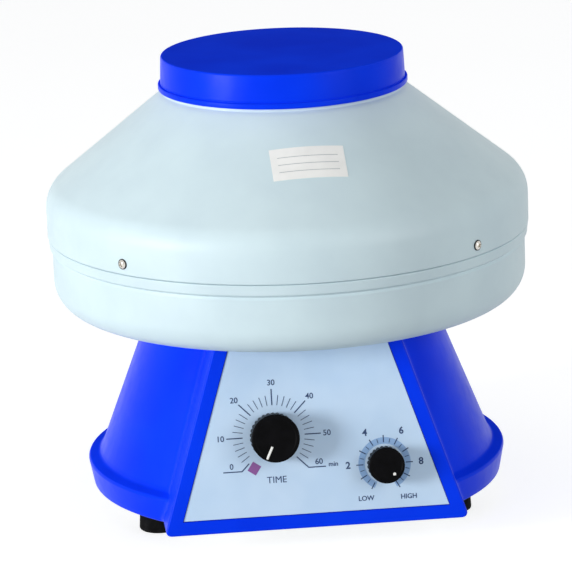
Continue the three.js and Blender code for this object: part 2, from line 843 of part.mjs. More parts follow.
function rotorHead() {
  const dishAt = (radius) => seatHeight + (radius - tubeCircleRadius) * Math.tan(tubeTilt);
  const across = headWall * Math.sin(tubeTilt);
  const down = headWall * Math.cos(tubeTilt);
  const inner = hubRadius * dishRootShare;
  const dish = turned([
    [inner, dishAt(inner)],
    [headRimRadius, dishAt(headRimRadius)],
    [headRimRadius + across, dishAt(headRimRadius) - down],
    [inner + across, dishAt(inner) - down],
  ], bowlSides);
  const hub = rod(hubRadius, hubBottom, hubTop);
  const guide = rod(sleeveBore + guideWall, -headWall - guideLength, -headWall / 2, smallSides);
  const seat = rod(collarRadius + slack, 0, headWall + overrun, smallSides);
  const bore = rod(sleeveBore, -headWall - guideLength - overrun, overrun, smallSides);
  const guides = sleeveDegrees.map((degrees) => atSleeve(guide, degrees));
  const bores = sleeveDegrees.flatMap((degrees) => [atSleeve(seat, degrees), atSleeve(bore, degrees)]);
  const shaftCut = rod(shaftBore, hubBottom - overrun, hubTop + overrun);
  const overHub = rod(hubRadius, hubTop, hubTop + nutHeight + overrun);
  return cut(joined(dish, hub, guides), bores, shaftCut, overHub);
}

function tubeSleeve() {
  const inner = sleeveRadius - sleeveWall;
  const bottom = fit - sleeveLength;
  return turned([
    [0, bottom],
    [sleeveRadius - sleeveChamfer, bottom],
    [sleeveRadius, bottom + sleeveChamfer],
    [sleeveRadius, fit],
    [collarRadius, fit],
    [collarRadius, fit + collarHeight],
    [inner, fit + collarHeight],
    [inner, bottom + sleeveFloor + sleeveChamfer],
    [inner - sleeveChamfer, bottom + sleeveFloor],
    [0, bottom + sleeveFloor],
  ], smallSides);
}

piece("rotor_head", rotorHead(), castAluminium, rotorGroup);
for (const [i, degrees] of sleeveDegrees.entries()) {
  piece("tube_sleeve_" + (i + 1), tubeSleeve(), turnedSteel, rotorGroup).applyMatrix4(sleevePlace(degrees));
}

function rotorNut() {
  const threadTop = shaftTop + fit;
  return turned([
    [0, threadTop],
    [shaftBore, threadTop],
    [shaftBore, hubTop + fit],
    [nutRadius, hubTop + fit],
    [nutRadius, hubTop + nutHeight * nutRimShare],
    [nutRadius * nutCrownShare, hubTop + nutHeight],
    [0, hubTop + nutHeight],
  ], smallSides);
}

piece("rotor_nut", rotorNut(), brass, rotorGroup);

// Lid and its seal

function lid() {
  const bottomInner = lidInnerRadius + lidDraft;
  const bottomOuter = bottomInner + lidWall;
  const flangeTop = lidBottom + flangeHeight;
  return turned([
    [0, lidUnderside],
    [lidInnerRadius, lidUnderside],
    [bottomInner, lidBottom],
    [bottomOuter + flangeWidth, lidBottom],
    [bottomOuter + flangeWidth, flangeTop],
    [bottomOuter, flangeTop],
    [lidInnerRadius + lidWall, lidTop, lidRound],
    [0, lidTop],
  ], bowlSides);
}

const lidGroup = new THREE.Group();
centrifuge.add(lidGroup);
piece("lid", lid(), bluePlastic, lidGroup);
const lidSeal = tube(lidInnerRadius - fit, neckBore, neckTop + fit, neckTop + fit + sealHeight, bowlSides);
piece("lid_seal", lidSeal, blackRubber, lidGroup);

// Timer and speed control: each has a body behind the panel, a bush through it, a nut, a spindle and a knob

const panelFront = -frameRecess;
const bodyFront = -frameRecess - panelThickness - fit;
const nutBottom = panelFront + fit;
const nutTop = nutBottom + bushNutHeight;
const bushTop = panelFront + bushHeight;
const knobBottom = panelFront + knobClearance;
const knobRecessTop = bushTop + fit;
const spindleBore = knobSpindleRadius + fit;

const hexagon = (radius) => around(6, radius, 0).map(([x, y]) => [x, y]);

function knob(radius, height, flutes, pointerDegrees, recess, mark) {
  const top = knobBottom + height;
  const outline = Array.from({ length: flutes * 2 }, (_, i) => {
    const reach = i % 2 === 0 ? radius : radius - fluteDepth;
    const angle = (i * Math.PI) / flutes;
    return [reach * Math.cos(angle), reach * Math.sin(angle)];
  });
  const envelope = turned([
    [0, knobBottom],
    [radius + overrun, knobBottom],
    [radius + overrun, top - knobChamfer - overrun],
    [radius - knobChamfer, top],
    [0, top],
  ]);
  const grip = common(extruded(outline, knobBottom, top), envelope);
  const hollow = rod(recess, knobBottom - overrun, knobRecessTop, partSides);
  const bore = rod(spindleBore, knobBottom - overrun, top - knobFloor, smallSides);
  const groove = spun(mark(top), 90 - pointerDegrees);
  return cut(grip, hollow, bore, groove);
}

const halfPointer = pointerWidth / 2;
const timerMark = (top) =>
  block(
    [timerKnobRadius * timerMarkShare, timerKnobRadius - pointerInset],
    [-halfPointer, halfPointer],
    [top - pointerDepth, top + overrun],
  );
const speedMark = (top) => {
  const dot = rod(halfPointer, top - pointerDepth, top + overrun, smallSides);
  return moved(dot, speedKnobRadius * speedMarkShare, 0);
};

function spindle(bodyDepth, knobHeight) {
  const bottom = bodyFront - bodyDepth / 2 + fit;
  const top = knobBottom + knobHeight - knobFloor - fit;
  return rod(knobSpindleRadius, bottom, top, smallSides);
}

function controlBody(shape, bushRadius, depth) {
  const bush = rod(bushRadius, bodyFront - depth / 4, bushTop, smallSides);
  const bore = rod(spindleBore, bodyFront - depth / 2, bushTop + overrun, smallSides);
  return cut(joined(shape, bush), bore);
}

function bushNut(bushRadius) {
  const outside = extruded(hexagon(bushRadius + bushNutWidth), nutBottom, nutTop);
  return cut(outside, rod(bushRadius + fit, nutBottom - overrun, nutTop + overrun, smallSides));
}

const timerGroup = new THREE.Group();
timerGroup.position.set(timerAcross, timerUp, 0);
panelGroup.add(timerGroup);
const halfTimer = timerBodyWidth / 2;
const timerSides = [-halfTimer, halfTimer];
const timerCase = block(timerSides, timerSides, [bodyFront - timerBodyDepth, bodyFront]);
const timerRecess = timerBushRadius + bushNutWidth + fit * 2;
piece("timer_body", controlBody(timerCase, timerBushRadius, timerBodyDepth), zincPlate, timerGroup);
piece("timer_nut", bushNut(timerBushRadius), brass, timerGroup);
piece("timer_spindle", spindle(timerBodyDepth, timerKnobHeight), turnedSteel, timerGroup);
const timerKnob = knob(
  timerKnobRadius, timerKnobHeight, timerFlutes, timerPointerDegrees, timerRecess, timerMark,
);
piece("timer_knob", timerKnob, blackKnob, timerGroup);

const speedGroup = new THREE.Group();
speedGroup.position.set(speedAcross, speedUp, 0);
panelGroup.add(speedGroup);
const speedCase = rod(speedBodyRadius, bodyFront - speedBodyDepth, bodyFront);
const speedRecess = speedBushRadius + bushNutWidth + fit * 2;
piece("speed_control_body", controlBody(speedCase, speedBushRadius, speedBodyDepth), zincPlate, speedGroup);
piece("speed_control_nut", bushNut(speedBushRadius), brass, speedGroup);
piece("speed_control_spindle", spindle(speedBodyDepth, speedKnobHeight), turnedSteel, speedGroup);
const speedKnob = knob(
  speedKnobRadius, speedKnobHeight, speedFlutes, speedPointerDegrees, speedRecess, speedMark,
);
piece("speed_knob", speedKnob, blackKnob, speedGroup);

// Speed control board and its heat sink

const boardBottom = plateTop + boardStandoff + fit;
const boardTop = boardBottom + boardThickness;
const halfBoard = boardLength / 2;
const board = block([boardLeft, boardLeft + boardWidth], [-halfBoard, halfBoard], [boardBottom, boardTop]);
piece("control_board", board, boardResin);

function heatSink() {
  const bottom = boardTop + fit;
  const left = boardLeft + boardPostRadius;
  const halfLength = sinkLength / 2;
  const body = block([left, left + sinkWidth], [-halfLength, halfLength], [bottom, bottom + sinkHeight]);
  const pitch = sinkLength / (sinkFins + 1);
  const slots = Array.from({ length: sinkFins }, (_, i) => {
    const middle = pitch * (i + 1) - halfLength;
    return block(
      [left + sinkBase, left + sinkWidth + overrun],
      [middle - sinkSlotWidth, middle + sinkSlotWidth],
      [bottom - overrun, bottom + sinkHeight + overrun],
    );
  });
  return cut(body, slots);
}

piece("heat_sink", heatSink(), castAluminium);

// Mains inlet and fuse holder on the rear pad

function mainsInlet() {
  const border = inletFlangeBorder;
  const flangeTop = fit + inletFlangeThickness;
  const halfWidth = inletBodyWidth / 2;
  const halfHeight = inletBodyHeight / 2;
  const flange = block(
    [inletAcross - halfWidth - border, inletAcross + halfWidth + border],
    [-halfHeight - border, halfHeight + border],
    [fit, flangeTop],
  );
  const socketFloor = flangeTop - inletSocketDepth;
  const wide = halfWidth - inletWall;
  const tall = halfHeight - inletWall;
  const socket = moved(extruded([
    [-wide, -tall + inletChamfer],
    [-wide + inletChamfer, -tall],
    [wide - inletChamfer, -tall],
    [wide, -tall + inletChamfer],
    [wide, tall],
    [-wide, tall],
  ], socketFloor, flangeTop + overrun), inletAcross, 0);
  const pins = [[-pinPitch, pinOffset], [0, -pinOffset], [pinPitch, pinOffset]].map(([x, y]) =>
    block(
      [inletAcross + x - pinThickness / 2, inletAcross + x + pinThickness / 2],
      [y - pinWidth / 2, y + pinWidth / 2],
      [socketFloor - inletWall, socketFloor + pinLength],
    ));
  const body = inletBlock(0, -inletBodyDepth, fit + inletFlangeThickness / 2);
  return joined(cut(joined(body, flange), socket), pins);
}

piece("mains_inlet", mainsInlet(), blackPlastic, rearGroup);

function fuseHolder() {
  const capTop = fit + fuseCapHeight;
  const body = turned([
    [0, -fuseBodyDepth],
    [fuseBodyRadius, -fuseBodyDepth],
    [fuseBodyRadius, fit],
    [fuseCapRadius, fit],
    [fuseCapRadius - fuseSlotDepth, capTop],
    [0, capTop],
  ], smallSides);
  const half = fuseSlotWidth / 2;
  const slotFloor = capTop - fuseSlotDepth;
  const slot = block([-half, half], [-fuseBodyRadius, fuseBodyRadius], [slotFloor, capTop + overrun]);
  return moved(cut(body, slot), fuseAcross, 0);
}

piece("fuse_holder", fuseHolder(), blackPlastic, rearGroup);

export default centrifuge;
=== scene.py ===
import json
import math
from collections import namedtuple

import bmesh
import bpy
from mathutils import Matrix, Vector


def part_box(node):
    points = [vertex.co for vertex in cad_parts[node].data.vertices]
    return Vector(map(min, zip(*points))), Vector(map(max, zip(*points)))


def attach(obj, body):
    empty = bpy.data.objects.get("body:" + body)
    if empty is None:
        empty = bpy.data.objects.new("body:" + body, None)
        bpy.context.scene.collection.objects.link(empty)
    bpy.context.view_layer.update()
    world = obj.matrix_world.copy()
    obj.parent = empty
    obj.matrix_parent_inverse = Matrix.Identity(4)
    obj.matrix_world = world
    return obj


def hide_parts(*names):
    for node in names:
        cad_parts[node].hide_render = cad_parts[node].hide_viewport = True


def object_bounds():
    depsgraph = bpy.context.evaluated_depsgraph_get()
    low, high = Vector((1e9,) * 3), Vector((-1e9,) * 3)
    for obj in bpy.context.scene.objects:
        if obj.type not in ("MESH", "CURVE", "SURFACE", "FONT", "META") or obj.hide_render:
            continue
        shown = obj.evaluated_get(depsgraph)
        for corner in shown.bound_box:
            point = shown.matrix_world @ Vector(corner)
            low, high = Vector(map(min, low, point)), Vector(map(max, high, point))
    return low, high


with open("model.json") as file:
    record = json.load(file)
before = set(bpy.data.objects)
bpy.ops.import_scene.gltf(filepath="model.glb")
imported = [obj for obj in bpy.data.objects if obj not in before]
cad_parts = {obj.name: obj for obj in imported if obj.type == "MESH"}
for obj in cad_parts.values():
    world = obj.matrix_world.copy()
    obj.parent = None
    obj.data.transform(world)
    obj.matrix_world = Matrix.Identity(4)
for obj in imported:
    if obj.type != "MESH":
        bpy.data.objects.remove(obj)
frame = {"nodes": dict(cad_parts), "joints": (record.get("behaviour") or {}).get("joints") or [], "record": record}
cad_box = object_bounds()

# A table-top clinical centrifuge: its finishes, fine shells and printed dials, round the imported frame.
# Metres, +Z up, the control panel faces -Y and the rotor turns about Z.

mm = 0.001


def shift(x=0, y=0, z=0):
    return Matrix.Translation((x, y, z))


def turn_about(axis, angle):
    return Matrix.Rotation(angle, 4, axis)


# Places and sizes that the frame gives

base_low, base_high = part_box("base_housing")
bowl_low, bowl_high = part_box("lower_bowl")
guard_low, guard_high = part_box("bowl_guard")
lid_low, lid_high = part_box("lid")
seal_low, seal_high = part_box("lid_seal")
nut_low, nut_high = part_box("rotor_nut")
inlet_low, inlet_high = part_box("mains_inlet")
fuse_low, fuse_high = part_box("fuse_holder")
joints = {joint["name"]: joint for joint in frame["joints"]}
timer_place = Vector(joints["timer_turn"]["pos_m"])
speed_place = Vector(joints["speed_turn"]["pos_m"])
panel_out = Vector(joints["timer_turn"]["axis"])
panel_lean = math.asin(panel_out.z)
panel_up = Vector((0, math.sin(panel_lean), math.cos(panel_lean)))
panel_foot = Vector((0, base_low.y, base_low.z))
panel_turn = turn_about("X", math.pi / 2 - panel_lean)
on_panel = shift(*panel_foot) @ panel_turn

# Sizes that the frame doesn't give

fit = 0.3 * mm
axis_reach = fit / 1000
overrun = 2 * mm
housing_wall = 3 * mm
frame_half_width = 102.1 * mm
frame_taper_share = 0.32
frame_wall = 5.9 * mm
frame_recess = 0.6 * mm
frame_side = 10.2 * mm
frame_foot = 9.7 * mm
frame_head = 5 * mm
frame_lip = 6 * mm
panel_thickness = 2 * mm
deck_hole_radius = 60 * mm
bowl_wall = 2.5 * mm
neck_wall = 2.2 * mm
boot_hole_radius = 22 * mm

# Roundings of a trimmed, an eased and a moulded edge, and how finely bodies are divided

trimmed = 0.3 * mm
eased = 0.5 * mm
moulded = 0.8 * mm
wide_sides = 256
small_sides = 64
smooth_degrees = 30
bevel_steps = 3
corner_room = 0.49


# Small tools for outlines, turned bodies and pieces


def rounded(corners, steps=6):
    """An outline of (across, up, radius) corners, each corner with a radius turned into an arc."""
    line = []
    for i, (across, up, *radius) in enumerate(corners):
        corner = Vector((across, up))
        if not radius:
            line.append(corner)
            continue
        before = Vector(corners[i - 1][:2]) - corner
        after = Vector(corners[(i + 1) % len(corners)][:2]) - corner
        half = before.angle(after) / 2
        room = corner_room * min(before.length, after.length)
        reach = min(radius[0] / math.tan(half), room)
        before.normalize()
        after.normalize()
        middle = corner + (before + after).normalized() * reach / math.cos(half)
        start = corner + before * reach - middle
        end = corner + after * reach - middle
        line += [middle + start.slerp(end, step / steps) * start.length for step in range(steps + 1)]
    return line


def outward(form):
    """The form with its faces pointing outwards."""
    bmesh.ops.recalc_face_normals(form, faces=form.faces)
    return form


def arc(middle, radius, first, last, steps):
    """Points round a middle from one angle to another, both ends included."""
    turns = [first + (last - first) * i / steps for i in range(steps + 1)]
    return [(middle[0] + radius * math.cos(a), middle[1] + radius * math.sin(a)) for a in turns]


def turned(outline, sides):
    """A closed body turned about Z from (radius, height) points: a ring, unless they meet the axis."""
    form = bmesh.new()
    uv = form.loops.layers.uv.new("around")
    widest = max(point[0] for point in outline)
    rings = []
    for radius, height in outline:
        spots = sides if radius > axis_reach else 1
        turns = [2 * math.pi * i / sides for i in range(spots)]
        rings.append([form.verts.new((radius * math.cos(a), radius * math.sin(a), height)) for a in turns])
    lengths = [0.0]
    for a, b in zip(outline, outline[1:]):
        lengths.append(lengths[-1] + math.dist(a, b))
    closed = all(len(ring) > 1 for ring in rings)
    count = len(rings)
    for k in range(count if closed else count - 1):
        low, high = rings[k], rings[(k + 1) % count]
        start = lengths[k]
        end = start + math.dist(outline[k], outline[(k + 1) % count])
        for i in range(sides):
            j = (i + 1) % sides
            spots = [(low, i, i, start), (low, j, i + 1, start), (high, j, i + 1, end), (high, i, i, end)]
            used = {}
            for ring, spot, turn, along in spots:
                vertex = ring[spot % len(ring)]
                used.setdefault(vertex, (2 * math.pi * widest * turn / sides, along))
            face = form.faces.new(used)
            for loop in face.loops:
                loop[uv].uv = used[loop.vert]
    return outward(form)


def rod(radius, low, high):
    return turned([(0, low), (radius, low), (radius, high), (0, high)], small_sides)


def lofted(rings, closed=False):
    """A body through rings of equally many points, with both ends filled, or the last joined to the first."""
    form = bmesh.new()
    rows = [[form.verts.new(point) for point in ring] for ring in rings]
    count = len(rows[0])
    for k in range(len(rows) if closed else len(rows) - 1):
        low, high = rows[k], rows[(k + 1) % len(rows)]
        for i in range(count):
            j = (i + 1) % count
            form.faces.new((low[i], low[j], high[j], high[i]))
    if not closed:
        form.faces.new(rows[0])
        form.faces.new(rows[-1])
    return outward(form)


def drawn(corners, bottom, top):
    """A flat outline of (x, y) corners drawn up along Z."""
    return lofted([[(x, y, z) for x, y in corners] for z in (bottom, top)])


def either_side(half, middle=0.0):
    """The two ends of a length, from its half and its middle."""
    return middle - half, middle + half


def box(sides, radius=0.0):
    """A box between two values along each axis, with every edge rounded."""
    (left, right), (front, back), (bottom, top) = sides
    form = drawn([(left, front), (right, front), (right, back), (left, back)], bottom, top)
    if radius:
        edges = {"geom": form.edges[:], "affect": "EDGES"}
        bmesh.ops.bevel(form, **edges, offset=radius, segments=bevel_steps, profile=0.5)
    return form


def placed(form, *places):
    """The form moved by each matrix in turn."""
    for place in places:
        bmesh.ops.transform(form, matrix=place, verts=form.verts)
    return form


def linked(name, data):
    made = bpy.data.objects.new(name, data)
    bpy.context.scene.collection.objects.link(made)
    return made


def shape(name, form):
    """A new object with the form as its mesh."""
    mesh = bpy.data.meshes.new(name)
    form.to_mesh(mesh)
    form.free()
    return smoothed(linked(name, mesh))


def smoothed(piece):
    """The piece shaded smooth apart from its sharp edges."""
    piece.data.shade_smooth()
    piece.data.set_sharp_from_angle(angle=math.radians(smooth_degrees))
    return piece


def turned_piece(name, corners, steps=6, sides=wide_sides):
    """A new object turned about Z from (radius, height, rounding) corners."""
    return shape(name, turned(rounded(corners, steps), sides))


def plain_mesh(made):
    """What an object's modifiers, or its text, make of it, as one mesh."""
    graph = bpy.context.evaluated_depsgraph_get()
    return bpy.data.meshes.new_from_object(made.evaluated_get(graph))


def settled(piece):
    """The piece with what its modifiers make as its own mesh."""
    mesh = plain_mesh(piece)
    piece.modifiers.clear()
    piece.data = mesh
    return piece


def carved(piece, operation, others):
    """The piece joined to the others, or cut by them. The others are used up."""
    for other in others:
        modifier = piece.modifiers.new("carve", "BOOLEAN")
        modifier.operation = operation
        modifier.object = other
        modifier.solver = "EXACT"
    settled(piece)
    for other in others:
        bpy.data.objects.remove(other)
    return smoothed(piece)


def weighted(piece):
    """The piece shaded so that its large faces stay flat."""
    modifier = piece.modifiers.new("shading", "WEIGHTED_NORMAL")
    modifier.keep_sharp = True
    return settled(piece)


def numbered(stem, count):
    """The names from stem_1 to stem_count."""
    return ["%s_%d" % (stem, i + 1) for i in range(count)]


def middle_of(node):
    low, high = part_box(node)
    return (low + high) / 2


# Finishes: each layer of one follows a cloudy pattern or the lines that a tool leaves


def add(tree, kind, inputs=None, **settings):
    """Adds a node with its settings. An input is a value, a socket, or a node for its first output."""
    node = tree.nodes.new(kind)
    for name, value in settings.items():
        setattr(node, name, value)
    for name, value in (inputs or {}).items():
        if isinstance(value, bpy.types.Node):
            value = value.outputs[0]
        if isinstance(value, bpy.types.NodeSocket):
            tree.links.new(value, node.inputs[name])
        else:
            node.inputs[name].default_value = value
    return node


def linear(code):
    """An sRGB hex value as linear red, green, blue and a full alpha."""
    parts = [int(code[i:i + 2], 16) / 255 for i in (1, 3, 5)]
    return [p / 12.92 if p <= 0.04045 else ((p + 0.055) / 1.055) ** 2.4 for p in parts] + [1.0]


Look = namedtuple("Look", "material tree shader where")
constant_inputs = {"ior": "IOR", "specular": "Specular IOR Level", "coat_weight": "Coat Weight"}


def finish(name, code, roughness, metallic=0.0, **constants):
    """A new material with its constant values, ready for its layers."""
    made = bpy.data.materials.new(name)
    made.use_nodes = True
    tree = made.node_tree
    shader = tree.nodes["Principled BSDF"]
    shader.inputs["Base Color"].default_value = linear(code)
    shader.inputs["Roughness"].default_value = roughness
    shader.inputs["Metallic"].default_value = metallic
    for label, value in constants.items():
        shader.inputs[constant_inputs[label]].default_value = value
    return Look(made, tree, shader, add(tree, "ShaderNodeTexCoord").outputs["Object"])


def feed(look, label, output):
    """Leads an output into the shader's input of that label."""
    look.tree.links.new(output, look.shader.inputs[label])


def mottled(look, size, first, second, detail=2.0, low=0.35, high=0.65):
    """Base colour from one hex value to another, in blotches of about a size in metres."""
    inputs = {"Vector": look.where, "Scale": 1 / size, "Detail": detail}
    ramp = add(look.tree, "ShaderNodeValToRGB", {"Fac": add(look.tree, "ShaderNodeTexNoise", inputs)})
    for stop, position, code in zip(ramp.color_ramp.elements, (low, high), (first, second)):
        stop.position = position
        stop.color = linear(code)
    feed(look, "Base Color", ramp.outputs["Color"])


def hazed(look, size, low, high, detail=4.0):
    """Roughness from low to high, in blotches of about a size in metres."""
    inputs = {"Vector": look.where, "Scale": 1 / size, "Detail": detail}
    clouds = add(look.tree, "ShaderNodeTexNoise", inputs)
    inputs = {"Value": clouds, "From Min": 0.3, "From Max": 0.7, "To Min": low, "To Max": high}
    feed(look, "Roughness", add(look.tree, "ShaderNodeMapRange", inputs).outputs["Result"])


def grained(look, size, depth, detail=2.0, under=None):
    """Relief of a depth in metres, in grains of about a size, over another relief if there is one."""
    inputs = {"Vector": look.where, "Scale": 1 / size, "Detail": detail}
    return raised(look, add(look.tree, "ShaderNodeTexNoise", inputs), depth, under)


def lathed(look, pitch, depth, about_z=True):
    """Relief in circles round Z, as facing leaves, or in bands along Z, as turning leaves, at a pitch."""
    # A wave's own scale has 20 lines to 2 pi of its input.
    inputs = {"Vector": look.where, "Scale": 2 * math.pi / (20 * pitch), "Distortion": 0.6, "Detail": 2.0}
    ways = {"wave_type": "RINGS", "rings_direction": "Z"} if about_z else {"bands_direction": "Z"}
    return raised(look, add(look.tree, "ShaderNodeTexWave", inputs, **ways).outputs["Fac"], depth)


def raised(look, height, depth, under=None):
    """The relief that a pattern's height gives the surface."""
    inputs = {"Height": height, "Distance": depth, "Strength": 1.0}
    if under:
        inputs["Normal"] = under
    relief = add(look.tree, "ShaderNodeBump", inputs).outputs["Normal"]
    feed(look, "Normal", relief)
    return relief


def abs_moulding():
    # Injection-moulded ABS: a deep even blue, half-glossy on its sides, with a faint orange peel that breaks
    # up highlights. Faces that lie flat have a matt grain, so that they don't mirror what is behind them.
    look = finish("abs_moulding_blue", "#0238F0", 0.32, ior=1.53, specular=0.055)
    mottled(look, 60 * mm, "#0134EA", "#033CF6")
    hazed(look, 9 * mm, 0.28, 0.38)
    facing = add(look.tree, "ShaderNodeNewGeometry").outputs["True Normal"]
    upward = add(look.tree, "ShaderNodeSeparateXYZ", {"Vector": facing}).outputs["Z"]
    matt = add(look.tree, "ShaderNodeMapRange", {"Value": upward, "From Min": 0.6, "From Max": 0.95})
    rougher = {0: look.shader.inputs["Roughness"].links[0].from_socket, 1: matt.outputs["Result"]}
    rougher = add(look.tree, "ShaderNodeMath", rougher, operation="MAXIMUM")
    feed(look, "Roughness", rougher.outputs["Value"])
    peel = grained(look, 3.2 * mm, 0.03 * mm, detail=1.0)
    grained(look, 0.5 * mm, 0.002 * mm, under=peel)
    return look.material


def stove_enamel():
    # Stoved enamel on pressed steel: pale grey-blue, satin, with the fine peel of sprayed paint.
    look = finish("stove_enamel_grey", "#CBDFE6", 0.46, ior=1.5, specular=0.4)
    mottled(look, 45 * mm, "#C8DCE3", "#CEE2E8", detail=3.0)
    hazed(look, 6 * mm, 0.42, 0.52, detail=3.0)
    grained(look, 1.6 * mm, 0.012 * mm, detail=1.5)
    return look.material


def printed_sheet():
    # Back-printed polyester overlay: pale blue, with the velvet grain that such sheets have. The real
    # grain is about 0.1 mm, and it is drawn at 0.4 mm so that it shows.
    look = finish("polyester_overlay_blue", "#C0D9F2", 0.46, ior=1.57)
    mottled(look, 30 * mm, "#BCD6F0", "#C4DCF4")
    grained(look, 0.4 * mm, 0.01 * mm, detail=3.0)
    return look.material


def ink(name, code):
    # Screen ink: flat and slightly chalky, with a little unevenness where the squeegee passed.
    look = finish(name, code, 0.6, ior=1.45, specular=0.3)
    hazed(look, 1.5 * mm, 0.52, 0.68, detail=3.0)
    grained(look, 0.6 * mm, 0.004 * mm)
    return look.material


def label_vinyl():
    # White vinyl label: smooth, a touch warmer than the enamel, with a faint ripple from its glue.
    look = finish("label_vinyl_white", "#F1F2EF", 0.4, ior=1.5)
    mottled(look, 12 * mm, "#EEEFEC", "#F4F5F2")
    grained(look, 5 * mm, 0.015 * mm)
    return look.material


def phenolic():
    # Moulded phenolic: near-black, half-glossy, with a fine grain from the mould.
    look = finish("phenolic_black", "#08080A", 0.38, ior=1.6, specular=0.025)
    mottled(look, 8 * mm, "#070708", "#0D0D0F", detail=3.0)
    hazed(look, 1.2 * mm, 0.32, 0.48)
    grained(look, 0.5 * mm, 0.01 * mm, detail=3.0)
    return look.material


def rubber():
    # Moulded nitrile rubber: black, dull, dusted grey in patches.
    look = finish("nitrile_rubber_black", "#131314", 0.85, ior=1.52, specular=0.05)
    mottled(look, 5 * mm, "#0F0F10", "#1D1D1E", detail=5.0, low=0.4, high=0.75)
    grained(look, 0.7 * mm, 0.03 * mm, detail=4.0)
    return look.material


def nickel_plate():
    # Bright nickel plate: a clean mirror with faint handling haze.
    look = finish("nickel_plate_bright", "#D2CEC6", 0.14, metallic=1.0)
    hazed(look, 1.5 * mm, 0.1, 0.22)
    grained(look, 0.8 * mm, 0.002 * mm)
    return look.material


def zinc_plate():
    # Zinc plate with a clear passivate: grey, a little blue and yellow in blotches, softly glossy.
    look = finish("zinc_plate_clear", "#A9AFB3", 0.4, metallic=1.0)
    mottled(look, 14 * mm, "#A3ABB3", "#B5B5AC", detail=5.0)
    hazed(look, 3 * mm, 0.32, 0.5)
    grained(look, 0.9 * mm, 0.01 * mm, detail=3.0)
    return look.material


def ground_steel():
    # Turned and ground steel: cool grey, fine rings round the shaft from the tool.
    look = finish("ground_steel", "#9EA3A8", 0.3, metallic=1.0)
    hazed(look, 2 * mm, 0.24, 0.38)
    lathed(look, 0.8 * mm, 0.004 * mm, about_z=False)
    return look.material


def drawn_stainless():
    # Deep-drawn stainless tube: bright, with fine scratches that run round the sleeve. The scratches
    # follow the piece's own map, and are drawn at 0.5 mm so that they show.
    look = finish("drawn_stainless", "#B4B7B9", 0.24, metallic=1.0)
    around = add(look.tree, "ShaderNodeUVMap", uv_map="around")
    stretch = add(look.tree, "ShaderNodeMapping", {"Vector": around, "Scale": (0.04, 1.0, 1.0)})
    look = look._replace(where=stretch)
    hazed(look, 0.5 * mm, 0.18, 0.34, detail=3.0)
    grained(look, 0.5 * mm, 0.004 * mm, detail=3.0)
    return look.material


def machined_aluminium():
    # Machined casting: pale grey, with the rings that the facing tool left round the hub.
    look = finish("machined_aluminium", "#BCBFC1", 0.34, metallic=1.0)
    mottled(look, 18 * mm, "#B4B8BB", "#C2C4C4", detail=4.0)
    hazed(look, 4 * mm, 0.28, 0.42)
    lathed(look, 1.2 * mm, 0.008 * mm)
    return look.material


def cast_aluminium():
    # As-cast aluminium: a duller grey with the skin of the die and a fine pebbled grain.
    look = finish("die_cast_aluminium", "#A4A7A9", 0.5, metallic=1.0)
    mottled(look, 10 * mm, "#989C9F", "#AEB0B1", detail=5.0)
    grained(look, 0.9 * mm, 0.03 * mm, detail=4.0)
    return look.material


def brass():
    # Turned brass: warm yellow, slightly tarnished in patches.
    look = finish("turned_brass", "#B8954A", 0.3, metallic=1.0)
    mottled(look, 5 * mm, "#A98643", "#C4A155", detail=4.0)
    lathed(look, 0.7 * mm, 0.004 * mm)
    return look.material


def copper():
    # Enamelled copper winding and copper bars: a red-brown metal under a thin varnish.
    look = finish("varnished_copper", "#A8603A", 0.32, metallic=1.0, coat_weight=0.4)
    mottled(look, 3 * mm, "#965230", "#B46C44", detail=4.0)
    lathed(look, 1 * mm, 0.03 * mm, about_z=False)
    return look.material


def laminations():
    # Stacked silicon steel: dark grey with the edge of each sheet showing as a line. The real sheets
    # are 0.5 mm thick, and they are drawn at 1 mm so that they show.
    look = finish("stacked_laminations", "#55585C", 0.5, metallic=0.9)
    mottled(look, 6 * mm, "#4C4F53", "#606367", detail=4.0)
    lathed(look, 1 * mm, 0.05 * mm, about_z=False)
    return look.material


def carbon():
    # Pressed carbon brush: dark grey, dull and grainy.
    look = finish("pressed_carbon", "#242426", 0.75, specular=0.2)
    mottled(look, 0.8 * mm, "#1C1C1E", "#303033", detail=5.0)
    grained(look, 0.4 * mm, 0.02 * mm, detail=4.0)
    return look.material


def nylon():
    # Glass-filled nylon: black, satin, with the faint swirl of the filling.
    look = finish("filled_nylon_black", "#17171A", 0.5, ior=1.53, specular=0.06)
    mottled(look, 4 * mm, "#141417", "#1F1F23", detail=5.0)
    grained(look, 0.5 * mm, 0.015 * mm, detail=4.0)
    return look.material


def board_resin():
    # Glass-fibre board under green solder resist: the weave shows faintly through the resin. The real
    # threads are about 0.4 mm apart, and they are drawn at 0.8 mm so that they show.
    look = finish("glass_fibre_board", "#2C6A38", 0.4, ior=1.55)
    colours = {"Color1": linear("#2A6635"), "Color2": linear("#2F703C")}
    weave = {"Vector": look.where, "Scale": 1 / (0.8 * mm), **colours}
    feed(look, "Base Color", add(look.tree, "ShaderNodeTexChecker", weave).outputs["Color"])
    grained(look, 1.2 * mm, 0.02 * mm)
    return look.material


slate_ink = ink("screen_ink_slate", "#33486F")
white_ink = ink("filled_line_white", "#F2F2EE")
slot_finishes = {
    "blue_plastic": abs_moulding(),
    "grey_enamel": stove_enamel(),
    "panel_print": printed_sheet(),
    "knob_black": phenolic(),
    "black_rubber": rubber(),
    "chrome_screw": nickel_plate(),
    "turned_steel": ground_steel(),
    "zinc_plate": zinc_plate(),
    "cast_aluminium": cast_aluminium(),
    "brass": brass(),
    "copper": copper(),
    "laminated_steel": laminations(),
    "carbon": carbon(),
    "inlet_plastic": nylon(),
    "board_resin": board_resin(),
}
for subpart in frame["record"]["subparts"]:
    node = frame["nodes"][subpart["node"]]
    node.material_slots[0].material = slot_finishes[subpart["material_slot"]]


